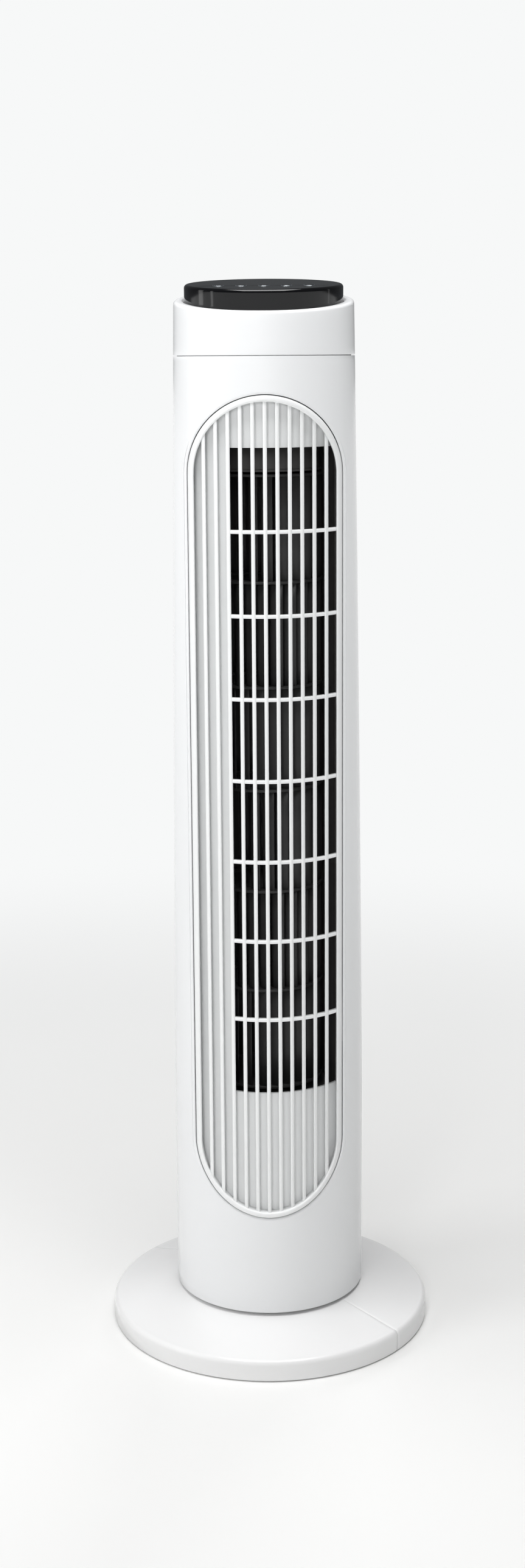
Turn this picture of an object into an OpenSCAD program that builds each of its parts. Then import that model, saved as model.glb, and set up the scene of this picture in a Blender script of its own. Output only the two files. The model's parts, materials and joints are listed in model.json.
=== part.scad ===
// Tower fan on a round base: a turning column with an oval outlet grille, a crossflow
// impeller on a vertical motor, and a tilted control cap with five round keys.
// Millimetres, +Z up. The column's front faces -Y. The origin is the centre of the base,
// on the floor.

/* [Base] */
// Diameter of the round base
base_d = 250; // [230:1:320]
// Height of the base's rim above the floor
base_rim_h = 17; // [15:0.5:22]
// Height of the base's crown, where the column stands
base_crown_h = 28.6; // [26:0.2:36]
// Radius of the rim's rounded top edge
base_edge_r = 4; // [2:0.5:6]
// Wall of the two base halves
base_wall = 2.5; // [2:0.1:3.5]
// Number of rubber feet, an even number
feet_n = 8; // [4:2:12]
// Diameter of one rubber foot
foot_d = 16; // [12:1:20]
// Angle by which the column stands turned from the base's own front
rest_turn = 38.3; // [-40:0.1:40]
// Outer diameter of the mains cord that the grommet takes
cord_d = 6.6; // [5:0.1:8]

/* [Turning joint] */
// Whole angle of the oscillation
sweep = 80; // [60:1:90]
// Gap between the base's crown and the column's foot
foot_gap = 2; // [1.5:0.1:4]
// Outer diameter of the pedestal's hub
hub_d = 48; // [40:1:52]
// Thickness of the glide ring under the turntable
glide_t = 4; // [3:0.5:6]
// Module of the oscillation gears
gear_module = 1.25; // [1:0.05:1.5]
// Teeth of the fixed gear
fixed_teeth = 48; // [46:1:52]
// Teeth of the pinion
pinion_teeth = 14; // [14:1:17]
// Diameter of the oscillation motor
osc_motor_d = 50; // [42:1:54]

/* [Column] */
// Diameter of the column at its foot
column_d = 147.2; // [146:0.2:185]
// Diameter of the column at the seam under the top ring
seam_d = 133; // [132:0.5:146]
// Wall of the column's two shells
shell_wall = 2.5; // [2:0.1:3.2]
// Height of the straight part of the column, from its foot
straight_h = 169.4; // [120:0.2:220]
// Height of the drive bay, from the column's foot to the lower deck
drive_bay_h = 156.4; // [150:0.2:200]
// Height of the bay between the upper deck and the top ring's seam
top_bay_h = 59.8; // [56:0.2:80]

/* [Outlet grille] */
// Width of the oval grille
grille_w = 111.8; // [104:0.2:118]
// Width of the grille's rim
rim_w = 4.5; // [3:0.1:6]
// Number of upright slats, an odd number
slat_n = 11; // [9:2:13]
// Thickness of one slat
slat_w = 2.9; // [2:0.1:3.5]
// Depth of a slat
slat_depth = 6; // [5:0.5:10]
// Slats, counted from the middle one, to the closed side of the outlet
closed_from_slat = 3; // [2:1:4]
// Number of cells in the height of the outlet
cells = 8; // [5:1:10]
// Height of one cell between two cross ribs
cell_h = 57.8; // [45:0.1:70]
// Height of one cross rib
rib_h = 2.7; // [2:0.1:4]
// Height of the grille above the outlet
grille_over = 36.8; // [34:0.1:38]
// Height of the grille below the outlet
grille_under = 98.3; // [80:0.1:105]

/* [Impeller and motor] */
// Diameter of the crossflow impeller
impeller_d = 86; // [68:1:88]
// Number of blade rings between two discs, one above another
sections = 6; // [4:1:8]
// Blades in one section
blades = 24; // [16:1:30]
// Gap between the impeller and the walls around it
impeller_gap = 4; // [3:0.1:5]
// Diameter of the motor's shaft
shaft_d = 8; // [6:0.1:10]
// Diameter of the motor
motor_d = 84; // [70:1:90]
// Height of the motor between the feet of its bearings
motor_h = 60; // [50:1:62]

/* [Control cap] */
// Height of the top ring at the column's side, above its seam
ring_h = 40; // [36:0.5:50]
// Slope of the top ring's upper edge
ring_tilt = 7.7; // [4:0.1:9]
// Diameter of the black control cap
cap_d = 116; // [108:0.5:118]
// Height of the cap's middle above the top ring's side
cap_rise = 11.2; // [10:0.2:16]
// Slope of the cap's top
cap_tilt = 5.7; // [3:0.1:7]
// Number of keys
keys_n = 5; // [3:1:6]
// Diameter of one key
key_d = 6.6; // [5:0.1:9]
// Distance from key to key
key_pitch = 16.3; // [12:0.1:17]
// Distance of the row of keys in front of the cap's middle
key_row_y = 18.6; // [10:0.2:24]
// Travel of one key
key_travel = 1; // [0.6:0.1:1.2]

/* [Fits and fasteners] */
// Gap between neighbouring mouldings
gap = 0.3; // [0.2:0.05:0.5]
// Radial running clearance of shafts and of the hub
run = 0.05; // [0.02:0.01:0.1]
// Thread diameter of the self-tapping screws
screw_d = 3; // [2.6:0.1:3.4]
// Head diameter of the self-tapping screws
screw_head_d = 6; // [5:0.1:6.6]

/* [Hidden] */
$fn = 72;

white = "whitesmoke";
black = "#17181a";
steel = "silver";
cut = 0.05;                 // how far a cutting body runs past a face

// Heights of the stack, from the floor up
column_z0 = base_crown_h + foot_gap;
lower_deck_z = column_z0 + drive_bay_h;
deck_t = 3;
outlet_sill = 16.9;
outlet_z0 = lower_deck_z + deck_t + outlet_sill;
outlet_z1 = outlet_z0 + cells * cell_h + (cells - 1) * rib_h;
upper_deck_z = outlet_z1 + 1;
seam_z = upper_deck_z + deck_t + top_bay_h;
ring_side_z = seam_z + ring_h;
cap_mid_z = ring_side_z + cap_rise;

// Column outline
taper_z = column_z0 + straight_h;
taper_steps = 5;
taper_bow = 0.27;
split_deg = 0.1;            // half of the split line between the shells, as an angle
split_y = column_d / 2 * sin(split_deg);
tongue_shares = [0.3, 0.5, 0.7];    // places of the tongues, as shares of the column's height
rear_foot_angles = [40, 140];
front_foot_angles = [220, 320];

// Grille
grille_r = grille_w / 2;
grille_in_r = grille_r - rim_w;
grille_top_z = outlet_z1 + grille_over - grille_r;
grille_low_z = outlet_z0 - grille_under + grille_r;
grille_groove = 0.35;
rim_proud = 0.8;
slat_inset = 0.6;
rib_inset = 1;
rib_depth = 3;
slat_pitch = (2 * grille_in_r + slat_w) / (slat_n + 1);
backing_inset = slat_inset + slat_depth + gap;
backing_t = 2;
duct_inset = backing_inset + backing_t + gap;
outlet_x0 = slat_w / 2 - closed_from_slat * slat_pitch;

// Base
base_r = base_d / 2;
foot_stand = 1;
foot_t = 3;
foot_inset = 20;
base_split = 0.1;
pedestal_r = column_d / 2 - 5.6;
pedestal_t = 4;
pedestal_z = base_crown_h - pedestal_t;
crown_r = pedestal_r + gap;
ledge_t = 3;
ledge_r = crown_r - 18;
base_screw_r = (crown_r + ledge_r) / 2;
cord_channel_w = cord_d + 8;
grommet_z = foot_stand + cord_d / 2 + 3.4;
grommet_seat_r = cord_d / 2 + 1.6;
socket_wall = 2;
base_rib_t = 2;
base_rib_z = foot_stand + 5;
base_screw_angles = [30, 90, 150];

// Turning joint
hub_r = hub_d / 2;
hub_wall = 6;
turntable_t = 3;
turntable_z = base_crown_h + glide_t + run;
collar_h = 7;
collar_t = 5;
washer_t = 1;
hub_top_z = turntable_z + turntable_t + collar_h + run + washer_t;
glide_r0 = hub_r + 16;
glide_r1 = hub_r + 34;
stop_r = hub_r + 9;
stop_peg_d = 5;
stop_play = 0.6;
stop_depth = 2.4;
stop_half = sweep / 2 + asin((stop_peg_d / 2 + stop_play) / stop_r);    // of the peg's groove, with its play
fixed_pitch_r = gear_module * fixed_teeth / 2;
pinion_pitch_r = gear_module * pinion_teeth / 2;
gear_centres = fixed_pitch_r + pinion_pitch_r;
gear_face = 8;
pinion_face = 7;
gear_backlash = 0.2;
pressure_angle = 20;
fixed_gear_screw_angles = [30, 150, 270];
osc_shaft_d = 7;
osc_motor_z = hub_top_z + gear_face + 4.35;
osc_motor_h = 20;
osc_ear_y = osc_motor_d / 2 + 4.5;
osc_ear_t = 1.5;

// Fasteners
press = 0.02;               // radial play of a press fit
screw_head_h = 2;
screw_hole_d = screw_d + 0.4;
screw_pilot_d = screw_d + 0.04;
boss_d = screw_d + 5;
turntable_screw_r = column_d / 2 - shell_wall - 6.6;
turntable_boss_h = 14;
shell_boss_in = 11;
shell_boss_d = screw_head_d + 4;
shell_boss_zs = [column_z0 + 29.4, lower_deck_z - 37, seam_z - 36];
shell_screw_deep = 6;
deck_lug_h = 9;
deck_lug_angles = [30, 90, 150];
ring_screw_angles = [45, 135, 225, 315];

// Impeller, motor and duct
impeller_r = impeller_d / 2;
impeller_y = 6;
impeller_z0 = lower_deck_z + deck_t + 9;
impeller_top_gap = 21;
impeller_z1 = upper_deck_z - impeller_top_gap;
disc_t = 2;
section_pitch = (impeller_z1 - impeller_z0 - disc_t) / sections;
blade_depth = 9;
blade_t = 1.1;
blade_lean = 24;            // angle by which a blade's outer edge leads its root
section_twist = 5;
blade_bite = 0.3;           // how far a blade runs into the disc at each end
impeller_hub_r = shaft_d / 2 + 6;
impeller_hub_h = 18;
duct_wall = 1.8;
scroll_from = 110;
scroll_to = -5;
scroll_step = 5;
scroll_growth = 0.6;
tongue_heel_angle = 32;
motor_r = motor_d / 2;
motor_z1 = lower_deck_z - 15;
motor_z0 = motor_z1 - motor_h;
motor_wall = 1.6;
stator_h = 22;
bush_r = shaft_d / 2 + 4;
bush_h = 9;
motor_lug_r = motor_r + 8;
motor_lug_t = 2;
motor_lug_z = motor_z1 - 15;
motor_lug_angles = [90, 210, 330];
rotor_r = motor_r * 0.55;
grommet_r = screw_d / 2 + 3.5;
grommet_t = 3;
stub_d = 6;
top_bush_r = stub_d / 2 + 3;
boot_t = 4;
top_bush_z = impeller_z1 + 4;
top_bush_h = 8;
loom_d = 4;
loom_at = [-37, -31];

// Ring, cap and keys
cap_r = cap_d / 2;
cap_wall = 2;
cap_h = 25;
cap_edge_r = 2.5;
cap_pilot_h = 10;
ledge_w = 8;
ring_ledge_t = 2.5;
flange_w = 12;
flange_t = 3;
board_t = 1.6;
board_drop = 10;
board_r = cap_r - cap_wall - 5;
key_flange_d = key_d + 3;
key_flange_t = 0.8;
key_proud = 0.5;
switch_h = board_drop - cap_wall - key_flange_t - 2 * gap - key_travel;
cap_post_r = cap_r - cap_wall - boss_d / 2 + 1;
cap_post_angles = [20, 160, 200, 340];

// Handle recess at the back of the column
handle_w = 84;
handle_h = 27;
handle_depth = 22;
handle_z = upper_deck_z + deck_t + 10;

// Intake slots at the back
intake_cols = 21;
intake_half_angle = 62;
intake_slot_w = 3.4;

// ---- shared shapes ----

// Radius of the column's skin at height z
function column_r(z) =
    let (s = (z - taper_z) / (seam_z - taper_z))
    z <= taper_z ? column_d / 2
    : column_d / 2 - (column_d - seam_d) / 2 * ((1 - taper_bow) * s + taper_bow * s * s);

// Heights at which the column's outline has a point, between z0 and z1
function column_levels(z0, z1) = concat(
    [z0],
    [for (i = [0:taper_steps]) let (z = taper_z + i * (seam_z - taper_z) / taper_steps)
        if (z > z0 + 1 && z < z1 - 1) z],
    [z1]
);

function reversed(list) = [for (i = [len(list) - 1:-1:0]) list[i]];

function polar(r, a) = [r * cos(a), r * sin(a)];

// Outline of a wall that follows the column's skin, from out_inset to in_inset below it
module column_profile(z0, z1, out_inset, in_inset) {
    zs = column_levels(z0, z1);
    polygon(concat(
        [for (z = zs) [column_r(z) - out_inset, z]],
        [for (z = reversed(zs)) [column_r(z) - in_inset, z]]
    ));
}

module column_wall(z0, z1, out_inset, in_inset) {
    rotate_extrude() column_profile(z0, z1, out_inset, in_inset);
}

// Everything inside the column, more than inset below its skin
module column_inside(z0, z1, inset) {
    zs = column_levels(z0, z1);
    rotate_extrude() polygon(concat(
        [[0, z0]],
        [for (z = zs) [column_r(z) - inset, z]],
        [[0, z1]]
    ));
}

// Upright oval of half width r, as a prism from the column's axis out through its front
module oval_prism(r) {
    rotate([90, 0, 0]) linear_extrude(column_d) {
        translate([0, grille_top_z]) circle(r);
        translate([0, grille_low_z]) circle(r);
        translate([-r, grille_low_z]) square([2 * r, grille_top_z - grille_low_z]);
    }
}

// Pan-head screw with its seat at the origin and its shank along +Z
module screw(length) {
    cylinder(d = screw_d, h = length, $fn = 24);
    difference() {
        translate([0, 0, -screw_head_h]) cylinder(d = screw_head_d, h = screw_head_h, $fn = 32);
        for (a = [0, 90]) rotate(a) translate([0, 0, -screw_head_h])
            cube([screw_head_d * 0.6, 0.9, 2], center = true);
    }
}

module tube(r1, r0, h) {
    difference() {
        cylinder(r = r1, h = h);
        translate([0, 0, -cut]) cylinder(r = r0, h = h + 2 * cut);
    }
}

module at_impeller(z = 0) {
    translate([0, impeller_y, z]) children();
}

// The cap's own frame: the origin is the middle of its top, and it leans to the front
module at_cap() {
    translate([0, 0, cap_mid_z]) rotate([cap_tilt, 0, 0]) children();
}

// The base's own frame: its front faces -Y before it is turned
module at_base() {
    rotate(-rest_turn) children();
}

// ---- base ----

// Height of the base's top at radius r
function base_top_z(r) =
    base_rim_h + (base_r - base_edge_r - r) * (base_crown_h - base_rim_h)
    / (base_r - base_edge_r - crown_r);

module base_half_profile() {
    difference() {
        union() {
            polygon([
                [ledge_r, pedestal_z - ledge_t], [crown_r + base_wall, pedestal_z - ledge_t],
                [crown_r + base_wall, foot_stand], [base_r, foot_stand],
                [base_r, base_rim_h - base_edge_r], [base_r - base_edge_r, base_rim_h],
                [crown_r, base_crown_h], [crown_r, pedestal_z], [ledge_r, pedestal_z]
            ]);
            translate([base_r - base_edge_r, base_rim_h - base_edge_r]) circle(base_edge_r);
        }
        polygon([
            [crown_r + base_wall, foot_stand - cut],
            [crown_r + base_wall, base_top_z(crown_r + base_wall) - base_wall],
            [base_r - base_edge_r, base_rim_h - base_wall],
            [base_r - base_wall, base_rim_h - base_edge_r],
            [base_r - base_wall, foot_stand - cut]
        ]);
    }
}

// Room under the base's skin that ribs and foot sockets may fill
module base_core() {
    rotate_extrude() polygon([
        [crown_r + base_wall / 2, foot_stand], [base_r - base_wall / 2, foot_stand],
        [base_r - base_wall / 2, base_rim_h - base_edge_r],
        [base_r - base_edge_r, base_rim_h - base_wall / 2],
        [crown_r + base_wall / 2, base_top_z(crown_r) - base_wall / 2]
    ]);
}

function foot_angles() = [for (i = [0:feet_n / 2 - 1]) (i + 0.5) * 360 / feet_n];

// One half of the base, on the +Y side of its split line
module base_half() {
    difference() {
        union() {
            rotate(base_split) rotate_extrude(angle = 180 - 2 * base_split) base_half_profile();
            intersection() {
                base_core();
                union() {
                    for (a = foot_angles()) {
                        rotate(a) translate([base_r - foot_inset, 0, 0])
                            cylinder(d = foot_d + 2 * socket_wall, h = base_crown_h);
                        rotate(a + 180 / feet_n * (a < 90 ? 0.5 : -0.5))
                            translate([crown_r, -base_rib_t / 2, base_rib_z])
                            cube([base_r - crown_r, base_rib_t, base_crown_h]);
                    }
                }
            }
        }
        for (a = foot_angles()) rotate(a) translate([base_r - foot_inset, 0, 0])
            cylinder(d = foot_d + 0.2, h = foot_t);
        for (a = base_screw_angles) rotate(a) translate([base_screw_r, 0, 0])
            cylinder(d = screw_hole_d, h = base_crown_h, $fn = 24);
    }
}

module base_front_half() {
    color(white) at_base() rotate(180) base_half();
}

module base_rear_half() {
    color(white) at_base() difference() {
        base_half();
        // way out for the cord, and the seat of its grommet in the rim
        translate([-cord_channel_w / 2, crown_r - cut, -cut])
            cube([cord_channel_w, base_wall + 2 * cut, foot_stand + cord_channel_w]);
        translate([0, base_r - base_wall - 6, grommet_z]) rotate([-90, 0, 0])
            cylinder(r = grommet_seat_r, h = 12);
    }
}

module cord_grommet() {
    color(black) at_base() translate([0, base_r - base_wall, grommet_z]) rotate([-90, 0, 0])
        rotate_extrude() polygon([
            [cord_d / 2 + 0.2, -4], [grommet_seat_r + 1.4, -4], [grommet_seat_r + 1.4, -1.2],
            [grommet_seat_r - 0.1, -1.2], [grommet_seat_r - 0.1, base_wall - 0.7],
            [cord_d / 2 + 0.2, base_wall - 0.7]
        ]);
}

module base_screws() {
    color(steel) at_base() for (turn = [0, 180]) for (a = base_screw_angles)
        rotate(turn + a) translate([base_screw_r, 0, pedestal_z - ledge_t])
            screw(ledge_t + pedestal_t - 1);
}

module rubber_feet() {
    color(black) at_base() for (turn = [0, 180]) for (a = foot_angles())
        rotate(turn + a) translate([base_r - foot_inset, 0, 0])
            cylinder(d = foot_d, h = foot_t);
}

module pedestal() {
    color(white) at_base() difference() {
        union() {
            translate([0, 0, pedestal_z]) cylinder(r = pedestal_r, h = pedestal_t);
            translate([0, 0, pedestal_z]) cylinder(r = hub_r, h = hub_top_z - pedestal_z);
        }
        translate([0, 0, pedestal_z - cut]) cylinder(r = hub_r - hub_wall, h = hub_top_z);
        for (turn = [0, 180]) for (a = base_screw_angles)
            rotate(turn + a) translate([base_screw_r, 0, pedestal_z - cut])
                cylinder(d = screw_pilot_d, h = pedestal_t - 1 + 2 * cut, $fn = 24);
        for (a = fixed_gear_screw_angles) rotate(a)
            translate([hub_r - hub_wall / 2, 0, hub_top_z - 10])
                cylinder(d = screw_pilot_d, h = 10 + cut, $fn = 24);
        // arc groove that stops the peg of the turntable
        translate([0, 0, base_crown_h - stop_depth - 0.6]) rotate(-90 - stop_half)
            rotate_extrude(angle = 2 * stop_half)
                translate([stop_r - stop_peg_d / 2 - gap, 0])
                square([stop_peg_d + 2 * gap, stop_depth + 1]);
    }
}

module glide_ring() {
    color("ivory") translate([0, 0, base_crown_h]) tube(glide_r1, glide_r0, glide_t);
}

module thrust_washer() {
    color(steel) translate([0, 0, hub_top_z - washer_t])
        tube(fixed_pitch_r + 3, hub_r + run, washer_t);
}

// ---- oscillation gears ----

function involute_part(base_radius, r) =
    let (a = acos(base_radius / r)) tan(a) - a * PI / 180;

// Half of a tooth's angle at radius r
function tooth_half(teeth, r) =
    let (
        pitch_r = gear_module * teeth / 2,
        base_radius = pitch_r * cos(pressure_angle),
        at = max(r, base_radius)
    )
    90 / teeth - gear_backlash / 4 / pitch_r * 180 / PI
    + (involute_part(base_radius, pitch_r) - involute_part(base_radius, at)) * 180 / PI;

// Outline of a spur gear, with one tooth on +X
function gear_points(teeth) =
    let (
        pitch_r = gear_module * teeth / 2,
        root_r = pitch_r - 1.25 * gear_module,
        tip_r = pitch_r + 0.9 * gear_module,
        low_r = max(root_r, pitch_r * cos(pressure_angle)) + 0.02,
        radii = concat([root_r], [for (k = [0:3]) low_r + (tip_r - low_r) * k / 3])
    )
    [for (i = [0:teeth - 1]) each concat(
        [for (r = radii) polar(r, i * 360 / teeth - tooth_half(teeth, r))],
        [for (r = reversed(radii)) polar(r, i * 360 / teeth + tooth_half(teeth, r))]
    )];

// The pinion stands behind the column's axis, so the fixed gear has a tooth on +Y at rest
module fixed_gear() {
    color("ivory") translate([0, 0, hub_top_z]) difference() {
        rotate(90) linear_extrude(gear_face) polygon(gear_points(fixed_teeth));
        translate([0, 0, -cut]) cylinder(r = hub_r - hub_wall, h = gear_face + 2 * cut);
        rotate(-rest_turn) for (a = fixed_gear_screw_angles) rotate(a)
            translate([hub_r - hub_wall / 2, 0, -cut])
                cylinder(d = screw_hole_d, h = gear_face + 2 * cut, $fn = 24);
    }
}

module fixed_gear_screws() {
    color(steel) at_base() for (a = fixed_gear_screw_angles) rotate(a)
        translate([hub_r - hub_wall / 2, 0, hub_top_z + gear_face]) rotate([180, 0, 0])
            screw(gear_face + 8);
}

module osc_pinion() {
    color("ivory") translate([0, gear_centres, hub_top_z + (gear_face - pinion_face) / 2])
        difference() {
            rotate(-90 + 180 / pinion_teeth) linear_extrude(pinion_face)
                polygon(gear_points(pinion_teeth));
            translate([0, 0, -cut])
                cylinder(d = osc_shaft_d + 2 * press, h = pinion_face + 2 * cut, $fn = 48);
        }
}

module osc_shaft() {
    color(steel) translate([0, gear_centres, hub_top_z])
        cylinder(d = osc_shaft_d, h = osc_motor_z - hub_top_z + 12, $fn = 48);
}

module osc_motor() {
    color(steel) difference() {
        translate([0, gear_centres, osc_motor_z]) {
            cylinder(d = osc_motor_d, h = osc_motor_h);
            for (side = [-1, 1]) {
                translate([side * osc_ear_y, 0, 0]) cylinder(d = 10, h = osc_ear_t, $fn = 32);
                translate([side * (osc_ear_y - 5) - 5, -5, 0]) cube([10, 10, osc_ear_t]);
            }
        }
        translate([0, gear_centres, osc_motor_z - cut])
            cylinder(d = osc_shaft_d + 2 * run, h = 13, $fn = 48);
        for (side = [-1, 1]) translate([side * osc_ear_y, gear_centres, osc_motor_z - cut])
            cylinder(d = screw_hole_d, h = osc_ear_t + 2 * cut, $fn = 24);
    }
}

module osc_motor_screws() {
    color(steel) for (side = [-1, 1])
        translate([side * osc_ear_y, gear_centres, osc_motor_z + osc_ear_t])
            rotate([180, 0, 0]) screw(osc_ear_t + 8);
}

module turntable() {
    color(white) difference() {
        union() {
            translate([0, 0, turntable_z])
                cylinder(r = column_d / 2 - shell_wall - gap, h = turntable_t);
            translate([0, 0, turntable_z])
                cylinder(r = hub_r + collar_t, h = turntable_t + collar_h);
            for (side = [-1, 1]) translate([side * osc_ear_y, gear_centres, turntable_z])
                cylinder(d = boss_d, h = osc_motor_z - turntable_z);
            translate([0, -stop_r, base_crown_h - stop_depth])
                cylinder(d = stop_peg_d, h = turntable_z - base_crown_h + stop_depth + 1);
        }
        translate([0, 0, turntable_z - cut])
            cylinder(r = hub_r + run, h = turntable_t + collar_h + 2 * cut);
        for (side = [-1, 1]) translate([side * osc_ear_y, gear_centres, osc_motor_z - 10])
            cylinder(d = screw_pilot_d, h = 10 + cut, $fn = 24);
        turntable_screw_places() translate([0, 0, -cut])
            cylinder(d = screw_hole_d, h = turntable_t + 2 * cut, $fn = 24);
    }
}

module turntable_screw_places() {
    for (a = concat(rear_foot_angles, front_foot_angles)) rotate(a)
        translate([turntable_screw_r, 0, turntable_z]) children();
}

module turntable_screws() {
    color(steel) turntable_screw_places() screw(turntable_t + 10);
}

// ---- column shells ----

// Tubes that take the screws joining the two shells; side is +1 for the rear shell
module shell_bosses(side) {
    for (z = shell_boss_zs) for (x = [-1, 1])
        translate([x * (column_r(z) - shell_boss_in), side * split_y, z]) rotate([-90 * side, 0, 0])
            cylinder(d = shell_boss_d, h = column_d / 2);
}

module half_shell(turn) {
    rotate(turn + split_deg) rotate_extrude(angle = 180 - 2 * split_deg) {
        column_profile(column_z0, seam_z, 0, shell_wall);
        translate([column_r(seam_z) - flange_w, seam_z - flange_t]) square([flange_w - 1, flange_t]);
    }
}

// Bosses standing on the inside of the shell's foot, for the turntable's screws
module foot_bosses(angles) {
    for (a = angles) rotate(a) translate([turntable_screw_r, 0, turntable_z + turntable_t]) {
        cylinder(d = boss_d, h = turntable_boss_h);
        translate([0, -2, 0])
            cube([column_d / 2 - shell_wall / 2 - turntable_screw_r, 4, turntable_boss_h]);
    }
}

module foot_pilots(angles) {
    for (a = angles) rotate(a) translate([turntable_screw_r, 0, turntable_z])
        cylinder(d = screw_pilot_d, h = turntable_t + 11, $fn = 24);
}

module ring_screw_places(z) {
    for (a = ring_screw_angles) rotate(a)
        translate([column_r(seam_z) - flange_w + 4.5, 0, z]) children();
}

module front_shell() {
    color(white) difference() {
        union() {
            half_shell(180);
            foot_bosses(front_foot_angles);
            intersection() {
                shell_bosses(-1);
                column_inside(column_z0 + 1, seam_z - 1, shell_wall / 2);
            }
            // tongues that line up the rear shell along the split
            for (share = tongue_shares) for (side = [0, 1]) mirror([side, 0, 0])
                shell_tongue(column_z0 + share * (seam_z - column_z0));
        }
        oval_prism(grille_r + grille_groove);
        for (z = shell_boss_zs) for (x = [-1, 1])
            translate([x * (column_r(z) - shell_boss_in), -12, z]) rotate([-90, 0, 0])
                cylinder(d = screw_pilot_d, h = 12, $fn = 24);
        foot_pilots(front_foot_angles);
        ring_screw_places(seam_z - flange_t - cut) cylinder(d = screw_hole_d, h = 5, $fn = 24);
    }
}

module shell_tongue(z) {
    low = z - 6;
    translate([0, 0, low]) rotate(-7) rotate_extrude(angle = 6.5)
        translate([column_r(z) - shell_wall - 2.4, 0]) square([shell_wall / 2 + 2, 12]);
    translate([0, 0, low]) rotate(-1) rotate_extrude(angle = 5)
        translate([column_r(z) - shell_wall - 2.4, 0]) square([2, 12]);
}

module rear_shell() {
    color(white) difference() {
        union() {
            half_shell(0);
            foot_bosses(rear_foot_angles);
            intersection() {
                union() {
                    shell_bosses(1);
                    deck_lugs(lower_deck_z);
                    deck_lugs(upper_deck_z);
                    translate([-handle_w / 2 - 2, column_r(handle_z) - handle_depth - 2, handle_z - 2])
                        cube([handle_w + 4, handle_depth + 2, handle_h + 4]);
                }
                column_inside(column_z0 + 1, seam_z - 1, shell_wall / 2);
            }
        }
        for (z = shell_boss_zs) for (x = [-1, 1])
            translate([x * (column_r(z) - shell_boss_in), -1, z]) rotate([-90, 0, 0]) {
                cylinder(d = screw_hole_d, h = 10, $fn = 24);
                translate([0, 0, 1 + shell_screw_deep])
                    cylinder(d = screw_head_d + 0.6, h = column_d / 2, $fn = 32);
            }
        deck_screw_places(lower_deck_z) translate([0, 0, -deck_lug_h])
            cylinder(d = screw_pilot_d, h = deck_lug_h + 1, $fn = 24);
        deck_screw_places(upper_deck_z) translate([0, 0, -deck_lug_h])
            cylinder(d = screw_pilot_d, h = deck_lug_h + 1, $fn = 24);
        foot_pilots(rear_foot_angles);
        ring_screw_places(seam_z - flange_t - cut) cylinder(d = screw_hole_d, h = 5, $fn = 24);
        // hand grip
        translate([-handle_w / 2, column_r(handle_z) - handle_depth, handle_z])
            cube([handle_w, column_d, handle_h]);
        intake_slots();
    }
}

// Upright intake slots, in the same tiers as the outlet's cells
module intake_slots() {
    for (tier = [0:cells - 1]) for (i = [0:intake_cols - 1])
        rotate(90 - intake_half_angle + i * 2 * intake_half_angle / (intake_cols - 1))
            translate([column_d / 2 - 15, -intake_slot_w / 2, outlet_z0 + tier * (cell_h + rib_h) + 3])
            cube([20, intake_slot_w, cell_h - 6]);
}

module deck_screw_places(z) {
    for (a = deck_lug_angles) rotate(a)
        translate([column_r(z) - shell_wall - boss_d / 2, 0, z]) children();
}

module deck_lugs(z) {
    deck_screw_places(z) translate([0, 0, -deck_lug_h]) {
        cylinder(d = boss_d, h = deck_lug_h);
        translate([0, -boss_d / 2, 0]) cube([boss_d, boss_d, deck_lug_h]);
    }
}

module shell_screws() {
    color(steel) for (z = shell_boss_zs) for (x = [-1, 1])
        translate([x * (column_r(z) - shell_boss_in), shell_screw_deep, z]) rotate([90, 0, 0])
            screw(shell_screw_deep + 11);
}

// ---- grille and duct ----

module front_grille() {
    low = grille_low_z - grille_r - 1;
    high = grille_top_z + grille_r + 1;
    color(white) {
        difference() {
            intersection() {
                column_wall(low, high, -rim_proud, slat_inset + slat_depth);
                oval_prism(grille_r);
            }
            oval_prism(grille_in_r);
        }
        intersection() {
            oval_prism(grille_in_r + rim_w / 2);
            column_wall(low, high, slat_inset, slat_inset + slat_depth);
            for (i = [0:slat_n - 1]) translate([(i - (slat_n - 1) / 2) * slat_pitch, 0, 0])
                translate([-slat_w / 2, -column_d / 2, low]) cube([slat_w, column_d / 2, high - low]);
        }
        intersection() {
            oval_prism(grille_in_r + rim_w / 2);
            column_wall(low, high, rib_inset, rib_inset + rib_depth);
            for (i = [1:cells - 1])
                translate([outlet_x0 - slat_w / 2, -column_d / 2, outlet_z0 + i * (cell_h + rib_h) - rib_h])
                cube([grille_w, column_d / 2, rib_h]);
        }
    }
}

module grille_backing() {
    low = grille_low_z - grille_r - 1;
    high = grille_top_z + grille_r + 1;
    color(white) difference() {
        intersection() {
            column_wall(low, high, backing_inset, backing_inset + backing_t);
            oval_prism(grille_in_r + rim_w / 2);
        }
        translate([outlet_x0, -column_d, outlet_z0])
            cube([column_d, column_d, outlet_z1 - outlet_z0]);
    }
}

// A deck across the duct's end: full width behind, and inside the grille's backing in front
module deck_plate(z) {
    rear_r = column_r(z + deck_t) - shell_wall - 2 * gap;
    front_r = column_r(z + deck_t) - duct_inset;
    translate([0, 0, z]) {
        rotate_extrude(angle = 180) square([rear_r, deck_t]);
        rotate(180) rotate_extrude(angle = 180) square([front_r, deck_t]);
    }
}

module motor_post_places() {
    for (a = motor_lug_angles) at_impeller() rotate(a) translate([motor_lug_r, 0, 0]) children();
}

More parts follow.
